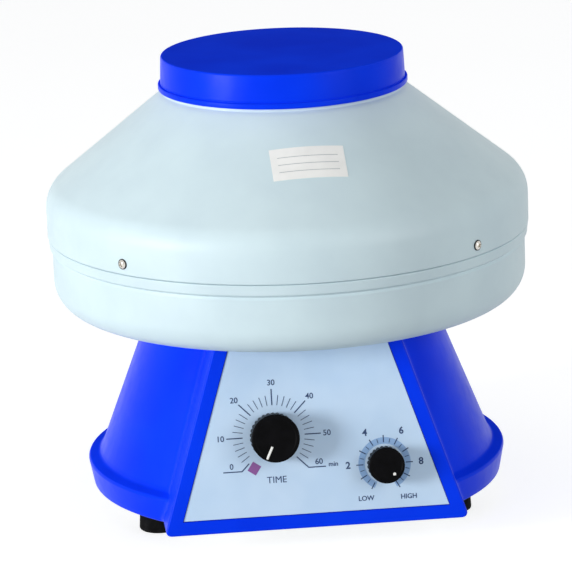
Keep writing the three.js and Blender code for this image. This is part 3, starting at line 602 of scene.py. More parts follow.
def seated(piece, body, slot=None, stands_for=(), finish=None):
    """The piece riding on its body, in place of the nodes it stands for, in its slot's finish or its own."""
    piece.data.materials.clear()
    piece.data.materials.append(finish or slot_finishes[slot])
    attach(piece, body)
    if stands_for:
        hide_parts(*stands_for)


# Geometry Nodes trees


def new_tree(name, kinds):
    """A tree with a geometry in and out, and named inputs given by their kinds."""
    tree = bpy.data.node_groups.new(name, "GeometryNodeTree")
    tree.interface.new_socket("Geometry", in_out="OUTPUT", socket_type="NodeSocketGeometry")
    for kind, labels in {"Geometry": ["Geometry"], **kinds}.items():
        for label in labels:
            tree.interface.new_socket(label, in_out="INPUT", socket_type="NodeSocket" + kind)
    return tree, add(tree, "NodeGroupInput").outputs


def end_tree(tree, geometry, material):
    """Ends the tree in real geometry with its material."""
    real = add(tree, "GeometryNodeRealizeInstances", {"Geometry": geometry})
    done = add(tree, "GeometryNodeSetMaterial", {"Geometry": real, "Material": material})
    add(tree, "NodeGroupOutput", {"Geometry": done})
    return tree


def grown(piece, tree, values):
    """The piece with what the tree makes of it, as one plain mesh."""
    modifier = piece.modifiers.new(tree.name, "NODES")
    modifier.node_group = tree
    for item in tree.interface.items_tree:
        if item.in_out == "INPUT" and item.name in values:
            modifier[item.identifier] = values[item.name]
    return smoothed(settled(piece))


def dial_tree():
    """Bars set round a dial, with a longer and wider one every so many."""
    tree, size = new_tree("dial_bars", {
        "Int": ["Count", "Shift", "Every"],
        "Float": [
            "First", "Step", "Inner radius", "Height",
            "Minor length", "Major length", "Minor width", "Major width",
        ],
        "Material": ["Ink"],
    })
    index = add(tree, "GeometryNodeInputIndex")
    line = add(tree, "GeometryNodeMeshLine", {"Count": size["Count"], "Offset": (0, 0, 0)})
    shifted = add(tree, "ShaderNodeMath", {0: index, 1: size["Shift"]}, operation="ADD")
    left_over = add(tree, "ShaderNodeMath", {0: shifted, 1: size["Every"]}, operation="MODULO")
    major = add(tree, "ShaderNodeMath", {0: left_over, 1: 0.0, 2: 0.5}, operation="COMPARE")
    length, width = [
        add(tree, "ShaderNodeMapRange", {
            "Value": major, "To Min": size["Minor " + part], "To Max": size["Major " + part],
        }) for part in ("length", "width")
    ]
    angle = {0: index, 1: size["Step"], 2: size["First"]}
    angle = add(tree, "ShaderNodeMath", angle, operation="MULTIPLY_ADD")
    middle = {0: length, 1: 0.5, 2: size["Inner radius"]}
    middle = add(tree, "ShaderNodeMath", middle, operation="MULTIPLY_ADD")
    rise = add(tree, "ShaderNodeMath", {0: size["Height"], 1: 0.5}, operation="MULTIPLY")
    turn = add(tree, "ShaderNodeCombineXYZ", {"Z": angle})
    turn = add(tree, "FunctionNodeEulerToRotation", {"Euler": turn})
    bar = add(tree, "GeometryNodeMeshCube", {"Size": (1, 1, 1)})
    bars = add(tree, "GeometryNodeInstanceOnPoints", {"Points": line, "Instance": bar, "Rotation": turn})
    out = add(tree, "ShaderNodeCombineXYZ", {"X": middle, "Z": rise})
    bars = add(tree, "GeometryNodeTranslateInstances", {"Instances": bars, "Translation": out})
    sizes = add(tree, "ShaderNodeCombineXYZ", {"X": length, "Y": width, "Z": size["Height"]})
    bars = add(tree, "GeometryNodeScaleInstances", {"Instances": bars, "Scale": sizes})
    return end_tree(tree, bars, size["Ink"])


def flute_tree():
    """Grooves sunk round the side of a turned knob, fading out under its top."""
    tree, size = new_tree("flutes", {
        "Int": ["Flutes"], "Float": ["Depth", "Reach", "Fade from", "Fade to"], "Material": ["Finish"],
    })
    parts = add(tree, "ShaderNodeSeparateXYZ", {"Vector": add(tree, "GeometryNodeInputPosition")}).outputs
    angle = add(tree, "ShaderNodeMath", {0: parts["Y"], 1: parts["X"]}, operation="ARCTAN2")
    turns = add(tree, "ShaderNodeMath", {0: angle, 1: size["Flutes"]}, operation="MULTIPLY")
    wave = add(tree, "ShaderNodeMath", {0: turns}, operation="COSINE")
    lifted = add(tree, "ShaderNodeMath", {0: wave, 1: 0.5, 2: 0.5}, operation="MULTIPLY_ADD")
    groove = add(tree, "ShaderNodeMath", {0: lifted, 1: 2.0}, operation="POWER")
    flat = add(tree, "ShaderNodeCombineXYZ", {"X": parts["X"], "Y": parts["Y"]})
    radius = add(tree, "ShaderNodeVectorMath", {0: flat}, operation="LENGTH").outputs["Value"]
    outside = add(tree, "ShaderNodeMath", {0: radius, 1: size["Reach"]}, operation="GREATER_THAN")
    fade = {"Value": parts["Z"], "From Min": size["Fade from"], "From Max": size["Fade to"]}
    fade = add(tree, "ShaderNodeMapRange", {**fade, "To Min": 1.0, "To Max": 0.0})
    depth = add(tree, "ShaderNodeMath", {0: size["Depth"], 1: -1.0}, operation="MULTIPLY")
    for share in (groove, outside, fade):
        depth = add(tree, "ShaderNodeMath", {0: depth, 1: share}, operation="MULTIPLY")
    inward = add(tree, "ShaderNodeVectorMath", {0: flat}, operation="NORMALIZE")
    offset = add(tree, "ShaderNodeVectorMath", {0: inward, "Scale": depth}, operation="SCALE")
    sunk = add(tree, "GeometryNodeSetPosition", {"Geometry": size["Geometry"], "Offset": offset})
    return end_tree(tree, sunk, size["Finish"])


def screw_tree():
    """A screw at each point, its head facing the way that the point says, turned at random about itself."""
    tree, size = new_tree("screws", {"Object": ["Screw"], "Int": ["Seed"], "Material": ["Finish"]})
    one = add(tree, "GeometryNodeObjectInfo", {"Object": size["Screw"], "As Instance": True})
    facing = add(tree, "GeometryNodeInputNamedAttribute", {"Name": "facing"}, data_type="FLOAT_VECTOR")
    facing = facing.outputs["Attribute"]
    aim = add(tree, "FunctionNodeAlignRotationToVector", {"Vector": facing}, axis="Z")
    chance = add(tree, "FunctionNodeRandomValue", {"Seed": size["Seed"], 3: math.pi}, data_type="FLOAT")
    spin = add(tree, "ShaderNodeCombineXYZ", {"Z": chance.outputs[1]})
    spin = add(tree, "FunctionNodeEulerToRotation", {"Euler": spin})
    inputs = {"Points": size["Geometry"], "Instance": one.outputs["Geometry"], "Rotation": aim}
    put = add(tree, "GeometryNodeInstanceOnPoints", inputs)
    spun = add(tree, "GeometryNodeRotateInstances", {"Instances": put, "Rotation": spin})
    return end_tree(tree, spun, size["Finish"])


dial_bars = dial_tree()
flutes = flute_tree()
screws = screw_tree()


def fluted(piece, count, depth, radius, fade, slot):
    """The piece with grooves round its side, which fade out from one height to another."""
    return grown(piece, flutes, {
        "Flutes": count, "Depth": depth, "Reach": radius - depth,
        "Fade from": fade[0], "Fade to": fade[1], "Finish": slot_finishes[slot],
    })


# Base moulding: a cone and a foot rim that flow into the panel's frame, with a pad behind

rim_radius = 145 * mm
rim_draft = 3.4 * mm
rim_height = 17.9 * mm
rim_round = 2.2 * mm
ledge_rise = 2.7 * mm
cone_foot_radius = 136 * mm
cone_top_radius = 95 * mm
flare_round = 6 * mm
frame_corner = 1.6 * mm
frame_fillet = 10 * mm
frame_toe = 4.5 * mm
edge_round = 0.9 * mm
pad_half_width = 38 * mm
pad_round = 3 * mm
pad_root, pad_hollow_root = 100 * mm, 90 * mm
pad_low, pad_high = base_low.z + 24 * mm, base_low.z + 74 * mm
flange_thickness = 2.5 * mm
pad_reach = inlet_high.y - fit - flange_thickness
inlet_hole_border = 2.5 * mm
fuse_hole_radius = 6.6 * mm
pocket_clearance = 0.5 * mm
front_steps, corner_steps, side_steps, fillet_steps, cone_steps = 8, 6, 4, 8, 72
toe_shares = (0.01, 0.03, 0.07, 0.13, 0.2, 0.35, 0.55, 0.75, 1.0)
edge_shares = (0.05, 0.2, 0.5, 1.0)
cone_levels = 12


def radius_at(z, line):
    """The radius at a height of an outline of (radius, height) points that climbs all the way."""
    (r0, z0), (r1, z1) = next((a, b) for a, b in zip(line, line[1:]) if a[1] <= z <= b[1])
    return r0 + (r1 - r0) * (z - z0) / (z1 - z0)


def frame_half(z):
    """The half width of the panel's frame at a height, with its lower corners rounded."""
    up = z - base_low.z
    half = frame_half_width - frame_taper_share * up / math.cos(panel_lean)
    short = min(max(frame_toe - up, 0), frame_toe)
    return half - frame_toe + math.sqrt(frame_toe ** 2 - short ** 2)


def housing_ring(z, radius, inset, front_inset):
    """The outline of the moulding at a height: frame front, rounded corner, side, fillet, then the cone."""
    half = frame_half(z) - inset
    front = base_low.y + (z - base_low.z) * math.tan(panel_lean) + front_inset
    corner = max(frame_corner - inset, trimmed)
    fillet = frame_fillet + inset
    line = [((half - corner) * i / front_steps, front) for i in range(front_steps)]
    line += arc((half - corner, front + corner), corner, -math.pi / 2, 0, corner_steps)
    bend = -math.sqrt((radius + fillet) ** 2 - (half + fillet) ** 2)
    start = line[-1][1]
    line += [(half, start + (bend - start) * i / side_steps) for i in range(1, side_steps)]
    last = math.atan2(-bend, -(half + fillet))
    line += arc((half + fillet, bend), fillet, math.pi, last, fillet_steps)
    line += arc((0, 0), radius, math.atan2(bend, half + fillet), math.pi / 2, cone_steps)[1:]
    line += [(-x, y) for x, y in line[-2:0:-1]]
    return [(x, y, z) for x, y in line]


def panel_outline(inset):
    """The panel's own outline on the slope, moved in by an inset."""
    slope = (base_high.z - base_low.z) / math.cos(panel_lean)
    low, high = frame_foot + inset, slope - frame_head - inset
    halves = [frame_half_width - frame_taper_share * up - frame_side - inset for up in (low, high)]
    return [(-halves[0], low), (halves[0], low), (halves[1], high), (-halves[1], high)]


def housing_rings():
    """The moulding's rings, up its outside, over the deck to its hole, and back down inside."""
    bottom, top = base_low.z, base_high.z
    rim_top = bottom + rim_height
    cone_foot = rim_top + ledge_rise
    side = rounded([
        (rim_radius - rim_draft, bottom),
        (rim_radius, rim_top, rim_round),
        (cone_foot_radius, cone_foot, flare_round),
        (cone_top_radius, top),
    ], steps=8)
    heights = {z for _, z in side}
    heights |= {bottom + share * frame_toe for share in toe_shares}
    heights |= {cone_foot + (top - cone_foot) * i / cone_levels for i in range(1, cone_levels)}
    heights |= {top - share * edge_round for share in edge_shares}
    rings = []
    for z in sorted(heights):
        short = max(edge_round - max(min(z - bottom, top - z), 0), 0)
        pulled = edge_round - math.sqrt(edge_round ** 2 - short ** 2)
        rings.append(housing_ring(z, radius_at(z, side) - pulled, pulled, pulled))
    directions = [math.atan2(y, x) for x, y, _ in rings[-1]]
    hole = [(deck_hole_radius * math.cos(a), deck_hole_radius * math.sin(a)) for a in directions]
    rings += [[(x, y, z) for x, y in hole] for z in (top, top - housing_wall)]
    lean = (cone_foot_radius - cone_top_radius) / (top - cone_foot)
    wall = housing_wall * math.hypot(1, lean)
    rim_inside = rim_radius - rim_draft - housing_wall
    inside = [
        (cone_top_radius - wall + housing_wall * lean, top - housing_wall),
        (cone_foot_radius - wall, cone_foot - housing_wall),
        (rim_inside, rim_top - housing_wall),
        (rim_inside, bottom),
    ]
    deep = frame_wall / math.cos(panel_lean)
    return rings + [housing_ring(z, radius, housing_wall, deep) for radius, z in inside]


def housing_shell():
    shell = shape("housing_shell", lofted(housing_rings(), closed=True))
    pad_sides = (either_side(pad_half_width), (pad_root, pad_reach), (pad_low, pad_high))
    carved(shell, "UNION", [shape("pad", box(pad_sides, pad_round))])
    hollow_sides = (
        either_side(pad_half_width - housing_wall),
        (pad_hollow_root, pad_reach - housing_wall),
        (pad_low + housing_wall, pad_high - housing_wall),
    )
    inlet_sides = (
        (inlet_low.x + inlet_hole_border, inlet_high.x - inlet_hole_border),
        (pad_reach - housing_wall - overrun, pad_reach + overrun),
        (inlet_low.z + inlet_hole_border, inlet_high.z - inlet_hole_border),
    )
    pocket = drawn(panel_outline(-pocket_clearance), -frame_recess - panel_thickness - fit, overrun)
    window = drawn(panel_outline(frame_lip), -frame_wall - overrun, 0)
    fuse_hole = rod(fuse_hole_radius, -housing_wall - overrun, overrun)
    return weighted(carved(shell, "DIFFERENCE", [
        shape("pad_hollow", box(hollow_sides)),
        shape("pocket", placed(pocket, on_panel)),
        shape("window", placed(window, on_panel)),
        shape("inlet_hole", box(inlet_sides)),
        shape("fuse_hole", placed(fuse_hole, on_rear, shift(fuse_across))),
    ]))


inlet_across, inlet_middle = middle_of("mains_inlet").x, middle_of("mains_inlet").z
fuse_across = middle_of("fuse_holder").x
on_rear = shift(0, pad_reach, inlet_middle) @ turn_about("X", -math.pi / 2)
seated(housing_shell(), "base", "blue_plastic", ["base_housing"])


# Lower bowl, with a leaning band under the seam

bowl_radius = guard_high.x - bowl_wall - fit
bowl_round = 40 * mm
band_height = 8.7 * mm
lip_height = 14.3 * mm
hem_round = 1 * mm
crease_depth = 0.7 * mm
crease_width = 1.8 * mm
seam = guard_low.z - fit
bowl_floor = bowl_low.z + bowl_wall


def bowl_shell():
    inside = bowl_radius - bowl_wall
    band_low = seam - band_height
    return turned_piece("bowl_shell", [
        (boot_hole_radius, bowl_low.z, eased),
        (bowl_radius, bowl_low.z, bowl_round),
        (bowl_radius, band_low - crease_width, moulded),
        (bowl_radius - crease_depth, band_low, eased),
        (bowl_high.x - crease_depth, band_low + crease_width, moulded),
        (bowl_high.x, seam, hem_round),
        (bowl_radius, seam, trimmed),
        (bowl_radius, seam + lip_height, trimmed),
        (inside, seam + lip_height, trimmed),
        (inside, bowl_floor, bowl_round - bowl_wall),
        (boot_hole_radius, bowl_floor, eased),
    ], steps=12)


seated(bowl_shell(), "base", "grey_enamel", ["lower_bowl"])


# Guard over the bowl, with the neck that the lid fits

guard_rise = 66 * mm
guard_top_radius = 82.5 * mm
guard_top_round = 1.2 * mm
skirt_height = 30 * mm
shoulder_round = 22 * mm
guard_step = 1.9 * mm
neck_ledge = 3.4 * mm
skirt_radius = guard_high.x
shoulder = guard_low.z + skirt_height
guard_top = shoulder + guard_rise
guard_slope = guard_rise / (skirt_radius - guard_top_radius)
neck_radius = guard_top_radius - neck_ledge
neck_bore = neck_radius - neck_wall


def guard_shell():
    level_wall = bowl_wall * math.hypot(1, guard_slope)
    inner_shoulder = shoulder + guard_slope * bowl_wall - level_wall
    inner_top = inner_shoulder + guard_slope * (skirt_radius - bowl_wall - neck_bore)
    neck_bottom = guard_top + guard_step
    return turned_piece("guard_shell", [
        (skirt_radius - bowl_wall, guard_low.z, trimmed),
        (skirt_radius, guard_low.z, hem_round),
        (skirt_radius, shoulder, shoulder_round),
        (guard_top_radius, guard_top, guard_top_round),
        (guard_top_radius, neck_bottom, trimmed),
        (neck_radius, neck_bottom, trimmed),
        (neck_radius, guard_high.z, eased),
        (neck_bore, guard_high.z, eased),
        (neck_bore, inner_top, moulded),
        (skirt_radius - bowl_wall, inner_shoulder, shoulder_round - bowl_wall),
    ], steps=10)


seated(guard_shell(), "base", "grey_enamel", ["bowl_guard"])


# Lid and its seal

lid_wall = 2.5 * mm
lid_draft = 0.8 * mm
lid_flange = 1.7 * mm
lid_flange_height = 3.8 * mm
lid_flange_round = 1.3 * mm
lid_round = 1.5 * mm
groove_depth = 0.2 * mm
groove_height = 1.1 * mm
seal_width = 2.5 * mm


def lid_cap():
    foot = lid_high.x - lid_flange
    underside = lid_high.z - lid_wall
    inside = foot - lid_wall
    flange_top = lid_low.z + lid_flange_height
    return turned_piece("lid_cap", [
        (0, underside),
        (inside - lid_draft, underside, moulded),
        (inside, lid_low.z, trimmed),
        (lid_high.x, lid_low.z, moulded),
        (lid_high.x, flange_top, lid_flange_round),
        (foot - groove_depth, flange_top, trimmed),
        (foot, flange_top + groove_height, eased),
        (foot - lid_draft, lid_high.z, lid_round),
        (0, lid_high.z),
    ], steps=8)


seated(lid_cap(), "lid", "blue_plastic", ["lid"])
seal_corners = [(seal_high.x, seal_low.z), (seal_high.x, seal_high.z)]
seal_corners += [(radius - seal_width, height) for radius, height in seal_corners[::-1]]
seal_corners = [(radius, height, moulded) for radius, height in seal_corners]
seated(turned_piece("lid_seal_ring", seal_corners, steps=4), "lid", "black_rubber", ["lid_seal"])


# Feet, each with a groove round it

corners_of_base = ("front_left", "front_right", "rear_left", "rear_right")
foot_bore_radius = 2.3 * mm
foot_recess_radius = 6 * mm
foot_recess_height = 6 * mm
foot_round = 1.6 * mm
foot_draft = 1.5 * mm
foot_groove_depth = 0.8 * mm
foot_groove_low, foot_groove_high = 12 * mm, 14.2 * mm
foot_groove_run = 0.6 * mm

for place in corners_of_base:
    low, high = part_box("foot_" + place)
    middle = (low + high) / 2
    radius = (high.x - low.x) / 2
    waist = radius - foot_draft / 2
    outline = rounded([
        (foot_bore_radius, foot_recess_height, trimmed),
        (foot_recess_radius, foot_recess_height, trimmed),
        (foot_recess_radius, low.z, eased),
        (radius, low.z, foot_round),
        (waist, foot_groove_low, trimmed),
        (waist - foot_groove_depth, foot_groove_low + foot_groove_run, trimmed),
        (waist - foot_groove_depth, foot_groove_high - foot_groove_run, trimmed),
        (waist, foot_groove_high, trimmed),
        (radius - foot_draft, high.z, eased),
        (foot_bore_radius, high.z, trimmed),
    ], steps=4)
    form = placed(turned(outline, small_sides), shift(middle.x, middle.y))
    seated(shape("rubber_foot_" + place, form), "base", "black_rubber", ["foot_" + place])


# Screws: cross-recessed pan heads, and a black ring under each of the guard's, a painted reflection that stands
# for the dark flanks the shiny heads mirror

head_shares = {
    "flat": 0.62, "side": 0.42, "crown": 0.5, "rim": 0.12, "foot": 0.06, "arm": 0.58, "blade": 0.17,
}
small_screw = {"radius": 3 * mm, "height": 1.8 * mm, "shank": 1.5 * mm, "length": 9 * mm}
large_screw = {"radius": 4 * mm, "height": 2.6 * mm, "shank": 2 * mm}
screw_sides = 40


def pan_head(radius, height, shank, length):
    """One screw along Z, its head's underside at the origin."""
    side = height * head_shares["side"]
    made = turned_piece("screw", [
        (0, height),
        (radius * head_shares["flat"], height, radius * head_shares["crown"]),
        (radius, side, radius * head_shares["rim"]),
        (radius, 0, radius * head_shares["foot"]),
        (shank, 0),
        (shank, -length, trimmed),
        (0, -length),
    ], steps=5, sides=screw_sides)
    arm, width = radius * head_shares["arm"], radius * head_shares["blade"]
    blades = [
        shape("blade", box((either_side(x), either_side(y), (side, height + overrun))))
        for x, y in ((arm, width), (width, arm))
    ]
    return carved(made, "DIFFERENCE", blades)


def screw_set(name, spots, one, seed, slot, stands_for):
    """Copies of one screw at (place, facing) spots, as one piece."""
    mesh = bpy.data.meshes.new(name)
    mesh.from_pydata([place for place, _ in spots], [], [])
    facing = mesh.attributes.new("facing", "FLOAT_VECTOR", "POINT")
    facing.data.foreach_set("vector", [part for _, way in spots for part in way])
    values = {"Screw": one, "Seed": seed, "Finish": slot_finishes[slot]}
    piece = grown(linked(name, mesh), screws, values)
    bpy.data.objects.remove(one)
    seated(piece, "base", slot, stands_for)


# Each corner's radius and height in millimetres
shade_ring_section = ((1.7, -0.1), (3.5, -0.1), (3.5, 0.5), (3.3, 0.7), (3.1, 0.7), (3.05, 0.05), (1.7, 0.05))
shade_ring_outline = [(radius * mm, height * mm) for radius, height in shade_ring_section]
shade_ring_lift = 0.1 * mm
guard_screws, shade_rings = numbered("guard_screw", 4), numbered("screw_cup", 4)
guard_spots = []
# Each black cup is a painted reflection: a dark ring round the head where its steep flanks would mirror dark
# surroundings.
for node, name in zip(guard_screws, shade_rings):
    middle = middle_of(node)
    way = Vector((middle.x, middle.y, 0)).normalized()
    place = way * (skirt_radius + shade_ring_lift) + Vector((0, 0, middle.z))
    guard_spots.append((place, way))
    facing_out = way.to_track_quat("Z", "Y").to_matrix().to_4x4()
    shade_ring_form = placed(turned(shade_ring_outline, small_sides), facing_out, shift(*place))
    seated(shape(name, shade_ring_form), "base", finish=slot_finishes["inlet_plastic"])
guard_seed = 3
screw_set("guard_screws", guard_spots, pan_head(**small_screw), guard_seed, "chrome_screw", guard_screws)

# Each upright set: its nodes, the height of its heads, the way they face, its screws' length and its seed
bowl_screws = numbered("bowl_screw", 3)
foot_screws = ["foot_screw_" + place for place in corners_of_base]
upright_sets = {
    "bowl_screws": (bowl_screws, bowl_floor + fit, 1, 11 * mm, 5),
    "foot_screws": (foot_screws, foot_recess_height - fit, -1, 30 * mm, 7),
}
for name, (nodes, height, way, length, seed) in upright_sets.items():
    spots = [((middle_of(node).x, middle_of(node).y, height), (0, 0, way)) for node in nodes]
    screw_set(name, spots, pan_head(**large_screw, length=length), seed, "zinc_plate", nodes)


# Knobs, each with a white mark let into its top

knob_clearance = 1.2 * mm
knob_floor = 3 * mm
knob_round = 1.6 * mm
knob_shoulder = 4 * mm
crown_inner_share, crown_outer_share = 0.82, 0.86
crown_depth = 0.35 * mm
bush_height = 6.5 * mm
spindle_bore = 3.3 * mm
flute_depth = 0.7 * mm
flute_sides = 12
timer_radius, speed_radius = 16 * mm, 12 * mm


def on_knob(place):
    """The matrix of a knob at a place, whose Z runs out along its spindle."""
    return shift(*place) @ panel_turn


def knob(name, node, place, body, radius, height, count, recess):
    """A fluted knob on the panel at a place, and the height of its top off the panel's frame."""
    bottom = -frame_recess + knob_clearance
    top = bottom + height
    recess_top = -frame_recess + bush_height + fit
    piece = turned_piece(name, [
        (0, top - knob_floor),
        (spindle_bore, top - knob_floor, trimmed),
        (spindle_bore, recess_top, trimmed),
        (recess, recess_top, trimmed),
        (recess, bottom, trimmed),
        (radius, bottom, eased),
        (radius, top - knob_shoulder),
        (radius, top, knob_round),
        (radius * crown_outer_share, top, trimmed),
        (radius * crown_inner_share, top - crown_depth, trimmed),
        (0, top - crown_depth),
    ], sides=flute_sides * count)
    fade = (top - knob_shoulder / 2, top - knob_clearance)
    fluted(piece, count, flute_depth, radius, fade, "knob_black")
    piece.data.transform(on_knob(place))
    seated(piece, body, "knob_black", [node])
    return top


def dial_way(clockwise_degrees):
    """The angle from X, in radians, of a direction given in degrees clockwise from the top."""
    return math.radians(90 - clockwise_degrees)


def dial_point(clockwise_degrees, radius):
    turn = dial_way(clockwise_degrees)
    return radius * math.cos(turn), radius * math.sin(turn)


timer_top = knob(
    "timer_knob_fluted", "timer_knob", timer_place, "timer",
    radius=timer_radius, height=16 * mm, count=30, recess=8.6 * mm,
)
speed_top = knob(
    "speed_knob_fluted", "speed_knob", speed_place, "speed",
    radius=speed_radius, height=13 * mm, count=24, recess=8.1 * mm,
)
pointer_way, pointer_inner, pointer_border = 206, 5.9 * mm, 1.1 * mm
pointer_half, pointer_rise = 0.75 * mm, 0.05 * mm
pointer_sides = (
    (pointer_inner, timer_radius - pointer_border),
    either_side(pointer_half),
    (timer_top - moulded, timer_top + pointer_rise),
)
pointer_place = on_knob(timer_place) @ turn_about("Z", dial_way(pointer_way))
pointer = placed(box(pointer_sides, trimmed / 2), pointer_place)
seated(shape("timer_pointer", pointer), "timer", finish=white_ink)

dot_way, dot_reach, dot_radius = 141, 7.6 * mm, 1 * mm
dot_top = speed_top - crown_depth / 2
dot_outline = rounded([
    (0, speed_top - moulded),
    (dot_radius, speed_top - moulded),
    (dot_radius, dot_top, trimmed / 2),
    (0, dot_top),
])
dot_place = on_knob(speed_place) @ shift(*dial_point(dot_way, dot_reach))
dot = placed(turned(dot_outline, small_sides), dot_place)
seated(shape("speed_dot", dot), "speed", finish=white_ink)


# Printing on the panel: scales, numbers and words, a hair thick

print_low = -frame_recess + 0.02 * mm
ink_height = 0.1 * mm


def on_sheet(place):
    """The matrix of a dial on the sheet's face, with X across the sheet and Y up its slope."""
    return on_panel @ shift(place.x, (place - panel_foot).dot(panel_up), print_low)


def printed(name, form, place, finish=slate_ink):
    """The form as a printed piece of the base, moved to its place."""
    seated(shape(name, placed(form, place)), "base", finish=finish)


on_timer, on_speed = on_sheet(timer_place), on_sheet(speed_place)


def scale_bars(name, place, values):
    """A scale round a dial, from the bars' tree."""
    piece = linked(name, bpy.data.meshes.new(name))
    grown(piece, dial_bars, {"Height": ink_height, "Ink": slate_ink, **values})
    piece.data.transform(place)
    seated(piece, "base", finish=slate_ink)


timer_scale_inner = 20.7 * mm
scale_bars("timer_scale", on_timer, {
    "Count": 29, "Shift": 1, "Every": 5, "First": dial_way(234), "Step": -math.radians(9),
    "Inner radius": timer_scale_inner, "Minor length": 6.8 * mm, "Major length": 10.8 * mm,
    "Minor width": 0.42 * mm, "Major width": 0.75 * mm,
})
scale_bars("speed_scale", on_speed, {
    "Count": 21, "Shift": 0, "Every": 2, "First": dial_way(210), "Step": -math.radians(15),
    "Inner radius": 14.2 * mm, "Minor length": 2.8 * mm, "Major length": 4.8 * mm,
    "Minor width": 0.45 * mm, "Major width": 0.7 * mm,
})


def stripe(points, width):
    """A flat bar of even width along a few points."""
    steps = [(Vector(b) - Vector(a)).normalized() for a, b in zip(points, points[1:])]
    rings = []
    for point, before, after in zip(points, steps[:1] + steps, steps + steps[-1:]):
        way = (before + after).normalized()
        square = Vector((-way.y, way.x))
        reach = width / 2 / square.dot(Vector((-after.y, after.x)))
        left, right = Vector(point) + square * reach, Vector(point) - square * reach
        rings.append([(*left, 0), (*right, 0), (*right, ink_height), (*left, ink_height)])
    return lofted(rings)


zero_way, sixty_way, hold_way = 225, 135, 214
lead_radius = 31.5 * mm
lead_width = 0.75 * mm
zero_end = dial_point(zero_way, lead_radius)
sixty_end = dial_point(sixty_way, lead_radius)
# Each lead line: the way it points, where it starts and turns, and how far across it then runs
leads = {
    "zero_lead": (zero_way, 24.4 * mm, zero_end, -12.5 * mm),
    "sixty_lead": (sixty_way, timer_scale_inner, sixty_end, 11.5 * mm),
}
for name, (way, inner, end, run) in leads.items():
    points = [dial_point(way, inner), end, (end[0] + run, end[1])]
    printed(name, stripe(points, lead_width), on_timer)

hold_inner, hold_outer, hold_half = 21.5 * mm, 28.5 * mm, 3.2 * mm
hold_mark = box(((hold_inner, hold_outer), either_side(hold_half), (0, ink_height)))
hold_place = on_timer @ turn_about("Z", dial_way(hold_way))
printed("hold_mark", hold_mark, hold_place, ink("screen_ink_purple", "#8F5C9C"))

band_inner, band_outer = 13.2 * mm, 17.6 * mm
band_first, band_sweep, band_steps = 205, 310, 60
band_low, band_high = -0.012 * mm, 0.03 * mm
band_rings = []
for i in range(band_steps + 1):
    turn = band_first + band_sweep * i / band_steps
    inner, outer = dial_point(turn, band_inner), dial_point(turn, band_outer)
    band_rings.append([(*inner, band_low), (*outer, band_low), (*outer, band_high), (*inner, band_high)])
speed_band = lofted(band_rings)
printed("speed_band", speed_band, on_speed, ink("screen_ink_pale_blue", "#8FB2DC"))

capital_share = 0.73
merge_distance = 0.002 * mm


def lettering(name, words, thicken):
    """Texts on the sheet as one piece, each (text, dial, across, up, height) from its dial's middle."""
    form = bmesh.new()
    for text, dial, across, up, height in words:
        curve = bpy.data.curves.new("word", "FONT")
        curve.body = text
        curve.size = height / capital_share
        curve.align_x = "CENTER"
        curve.align_y = "CENTER"
        curve.extrude = ink_height / 2
        curve.offset = thicken
        curve.resolution_u = 4
        word = linked("word", curve)
        mesh = plain_mesh(word)
        mesh.transform(dial @ shift(across, up, ink_height / 2))
        form.from_mesh(mesh)
        bpy.data.objects.remove(word)
    bmesh.ops.remove_doubles(form, verts=form.verts, dist=merge_distance)
    seated(shape(name, outward(form)), "base", finish=slate_ink)


def ring_numbers(step, count, turn, radius):
    """Numbers that climb by a step, clockwise from a dial's left side, each with its spot."""
    return {str(step * (i + 1)): dial_point(left_way + turn * i, radius) for i in range(count)}


left_way = 270
timer_ring, speed_ring = 35.6 * mm, 24.5 * mm
timer_number_height, speed_number_height = 3.9 * mm, 4.7 * mm
zero_gap, sixty_gap, end_lift = 6.8 * mm, 7 * mm, 3.4 * mm
timer_spots = ring_numbers(step=10, count=5, turn=45, radius=timer_ring)
timer_spots["0"] = (zero_end[0] - zero_gap, zero_end[1] + end_lift)
timer_spots["60"] = (sixty_end[0] + sixty_gap, sixty_end[1] + end_lift)
lettering("timer_numbers", [
    (number, on_timer, *spot, timer_number_height) for number, spot in timer_spots.items()
], thicken=0.06 * mm)
speed_spots = ring_numbers(step=2, count=4, turn=60, radius=speed_ring)
lettering("speed_numbers", [
    (number, on_speed, *spot, speed_number_height) for number, spot in speed_spots.items()
], thicken=0.16 * mm)

# TIME stays as thin as the font has it, because the font's M doesn't thicken cleanly.
lettering("timer_word", [("TIME", on_timer, 0.6 * mm, -29.3 * mm, 4.6 * mm)], thicken=0)
lettering("panel_words", [
    ("min", on_timer, sixty_end[0] + 16.5 * mm, sixty_end[1] + 1.2 * mm, 3.2 * mm),
    ("LOW", on_speed, -13.5 * mm, -22.6 * mm, 3.3 * mm),
    ("HIGH", on_speed, 15.1 * mm, -22.9 * mm, 3.3 * mm),
], thicken=0.08 * mm)


# Blank label on the guard, bent round the cone, with ruled lines

label_azimuth = math.radians(-88)
label_radius = 116.2 * mm
label_half_width = 24.6 * mm
label_half_height = 13.1 * mm
label_low, label_high = 0.03 * mm, 0.2 * mm
label_steps = 24
rules_down = (-5.5 * mm, 0.5 * mm, 6.5 * mm)
rule_half_length = 20 * mm
rule_half_width = 0.22 * mm
rule_low, rule_high = 0.15 * mm, 0.24 * mm
slant_share = 1 / math.hypot(1, guard_slope)
guard_normal = (guard_slope * slant_share, slant_share)


def cone_spot(across, down, lift):
    """A spot of a flat sheet laid on the guard's cone, given from the label's middle."""
    reach = label_radius / slant_share + down
    radius = math.hypot(across, reach) * slant_share
    turn = label_azimuth + math.atan2(across, reach) / slant_share
    z = guard_top + guard_slope * (guard_top_radius - radius) + lift * guard_normal[1]
    radius += lift * guard_normal[0]
    return radius * math.cos(turn), radius * math.sin(turn), z


